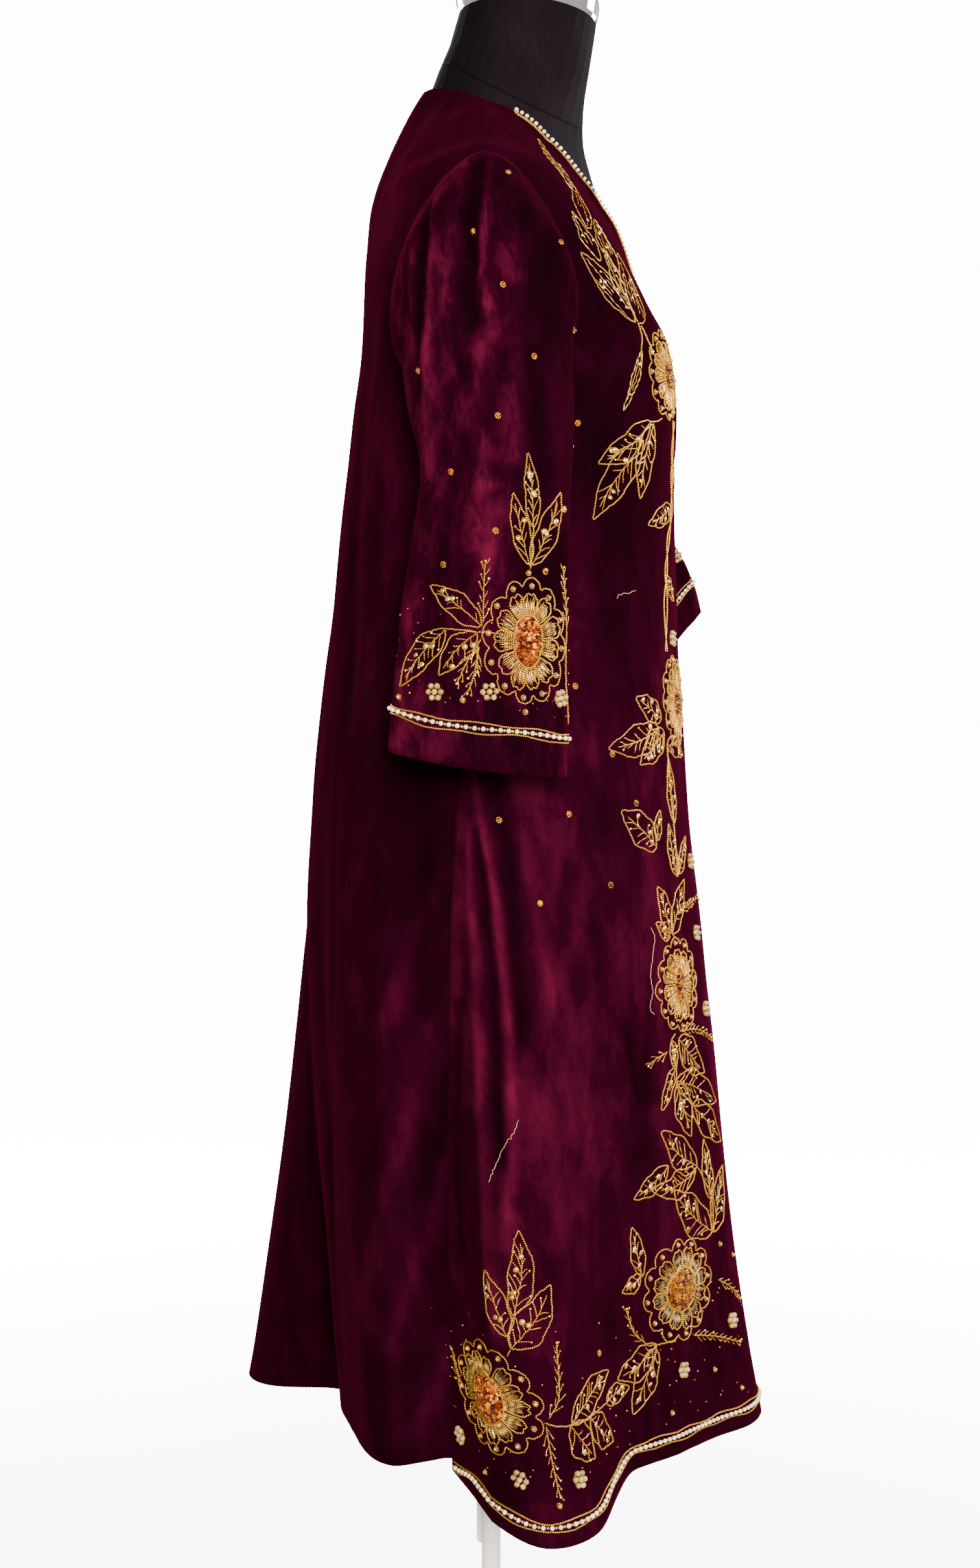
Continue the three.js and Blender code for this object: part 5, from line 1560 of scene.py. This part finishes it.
def sew_neck_edging(side, mirror):
    """Pearls up one edge of the V, larger from its middle up, and a cord beside them."""
    work = Needlework()
    rows = np.linspace(0.05, 6.4, 40)
    z = front_neck["z"](rows)
    edge = np.stack([body_ground.arc_at(front_neck["angle"](rows), z), z], axis=1)
    line = smooth_path(edge, 3.9)
    ahead = unit(np.gradient(line, axis=0))
    inward = np.stack([ahead[:, 1], -ahead[:, 0]], axis=1)
    for i, spot in enumerate(line + inward * 1.5):
        size = 1.35 + 0.45 * smooth_step((i - 0.45 * len(line)) / 12)
        work.bead(*spot, size * (1.0 if i % 2 else 0.9), PEARL, size)
        if i % 3 == 0:
            work.bead(*(spot + inward[i] * rng.uniform(3.4, 4.6)), 0.9, CHAMPAGNE)
    work.thread(line + inward * (4.8 + 0.5 * np.sin(np.arange(len(line)) * 0.8))[:, None], 0.7)
    work.thread((line + inward * 7.2)[-9:], 0.8)
    add_ringed_pearl(work, *(line[-1] + inward[-1] * 4.0))
    work.sew(f"neck_edging_{side}", body_ground, mirror, [f"neck_band_{side}"])


def sew_hem_band():
    work = Needlework()
    angle = np.linspace(-HEM_BAND_REACH, HEM_BAND_REACH, 180)
    z = front_hem(angle) + (HEM_BAND_RISE - HEM_BAND_DROP * smooth_step((np.abs(angle) - 94) / 9))
    add_band(work, np.stack([body_ground.arc_at(angle, z), z], axis=1))
    work.sew("hem_band_work", body_ground, 1, ["hem_band"])


for side, mirror in (("right", 1), ("left", -1)):
    sew_front(side, mirror)
    sew_cuff(side)
    sew_cuff_band(side)
    sew_neck_edging(side, mirror)
sew_hem_band()

# ---------------------------------------------------------------- dress form and stand
# The sewn seam of the neck, in metres: its height at the pole, its rise towards the nape
# and its bow.
NECK_SEAM_Z = 1.390
NECK_SEAM_RISE = 0.62
NECK_SEAM_BOW = 4.4


def make_cover():
    # Stretch jersey pulled over foam: matt near-black knit with a fine vertical rib and a
    # sewn seam round the foot of the neck. Ribs are 0.6 mm apart in life, drawn at 2 mm.
    material, tree = new_material("black stretch jersey form cover")
    place = add_node(tree, "TexCoord").outputs["Object"]
    axes = add_node(tree, "SeparateXYZ", None, {0: place}).outputs
    squeeze = add_node(tree, "Mapping", {"Scale": (500, 500, 90)}, {"Vector": place})
    rib = add_node(tree, "TexNoise", {"Scale": 1.0, "Detail": 2.0}, {"Vector": squeeze})
    cloud = add_node(tree, "TexNoise", {"Scale": 14.0, "Detail": 2.0}, {"Vector": place})
    both = add_node(tree, "Math", {"operation": "MULTIPLY_ADD", 1: 0.35}, {0: rib, 2: cloud})
    stops = [(0.45, "#080507"), (0.7, "#0f090c"), (0.95, "#181014")]
    jersey = add_node(tree, "ValToRGB", {"stops": stops}, {"Fac": both})
    # The seam dips from the nape to the hollow of the throat: a curve of height against depth.
    slope = add_node(tree, "Math", {"operation": "MULTIPLY_ADD", 1: NECK_SEAM_BOW, 2: NECK_SEAM_RISE},
                     {0: axes["Y"]})
    bowed = add_node(tree, "Math", {"operation": "MULTIPLY_ADD", 2: NECK_SEAM_Z},
                     {0: slope, 1: axes["Y"]})
    above = add_node(tree, "Math", {"operation": "SUBTRACT"}, {0: axes["Z"], 1: bowed})
    near = add_node(tree, "Math", {"operation": "ABSOLUTE"}, {0: above})
    seam = add_node(tree, "MapRange", {"interpolation_type": "SMOOTHSTEP", "From Max": 0.0022},
                    {"Value": near})
    deep = add_node(tree, "Mix", {"data_type": "RGBA", 6: colour("#070506")}, {0: seam, 7: jersey})
    groove = add_node(tree, "Bump", {"Strength": 0.7, "Distance": 0.0012}, {"Height": seam})
    knit = add_node(tree, "Bump", {"Strength": 0.2, "Distance": 0.0004},
                    {"Height": rib, "Normal": groove})
    finish_material(tree, {"Roughness": 0.92, "Specular IOR Level": 0.04},
                    {"Base Color": deep.outputs[2], "Normal": knit})
    return material


def make_chrome():
    # Spun steel, chromium plated: a hard mirror with a faint bloom of finger marks.
    material, tree = new_material("chromium plated spun steel")
    place = add_node(tree, "TexCoord").outputs["Object"]
    marks = add_node(tree, "TexNoise", {"Scale": 60.0, "Detail": 4.0}, {"Vector": place})
    rough = add_node(tree, "MapRange", {"From Min": 0.4, "From Max": 0.75, "To Min": 0.06,
                                        "To Max": 0.2}, {"Value": marks})
    tint = add_node(tree, "ValToRGB", {"stops": [(0.4, "#ddd0cc"), (0.7, "#f1e6e0")]}, {"Fac": marks})
    finish_material(tree, {"Metallic": 1.0}, {"Base Color": tint, "Roughness": rough})
    return material


def make_white_paint():
    # Powder-coated steel: warm white with a fine orange-peel skin, and dull patches of dust.
    material, tree = new_material("warm white powder-coated steel")
    place = add_node(tree, "TexCoord").outputs["Object"]
    peel = add_node(tree, "TexNoise", {"Scale": 420.0, "Detail": 2.0}, {"Vector": place})
    dust = add_node(tree, "TexNoise", {"Scale": 22.0, "Detail": 4.0}, {"Vector": place})
    stops = [(0.35, "#f1e2d8"), (0.55, "#fbf0e8"), (0.8, "#fffaf5")]
    tint = add_node(tree, "ValToRGB", {"stops": stops}, {"Fac": dust})
    rough = add_node(tree, "MapRange", {"From Min": 0.3, "From Max": 0.7, "To Min": 0.36,
                                        "To Max": 0.55}, {"Value": dust})
    bump = add_node(tree, "Bump", {"Strength": 0.25, "Distance": 0.0002}, {"Height": peel})
    finish_material(tree, {}, {"Base Color": tint, "Roughness": rough, "Normal": bump})
    return material


white_paint = make_white_paint()
STAND_FINISH = {"form": make_cover(), "neck_cap": make_chrome(), "flange": white_paint,
                "pole": white_paint, "pole_tab": white_paint, "base": white_paint}
for name, finish in STAND_FINISH.items():
    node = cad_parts[name]
    node.data.materials.clear()
    node.data.materials.append(finish)
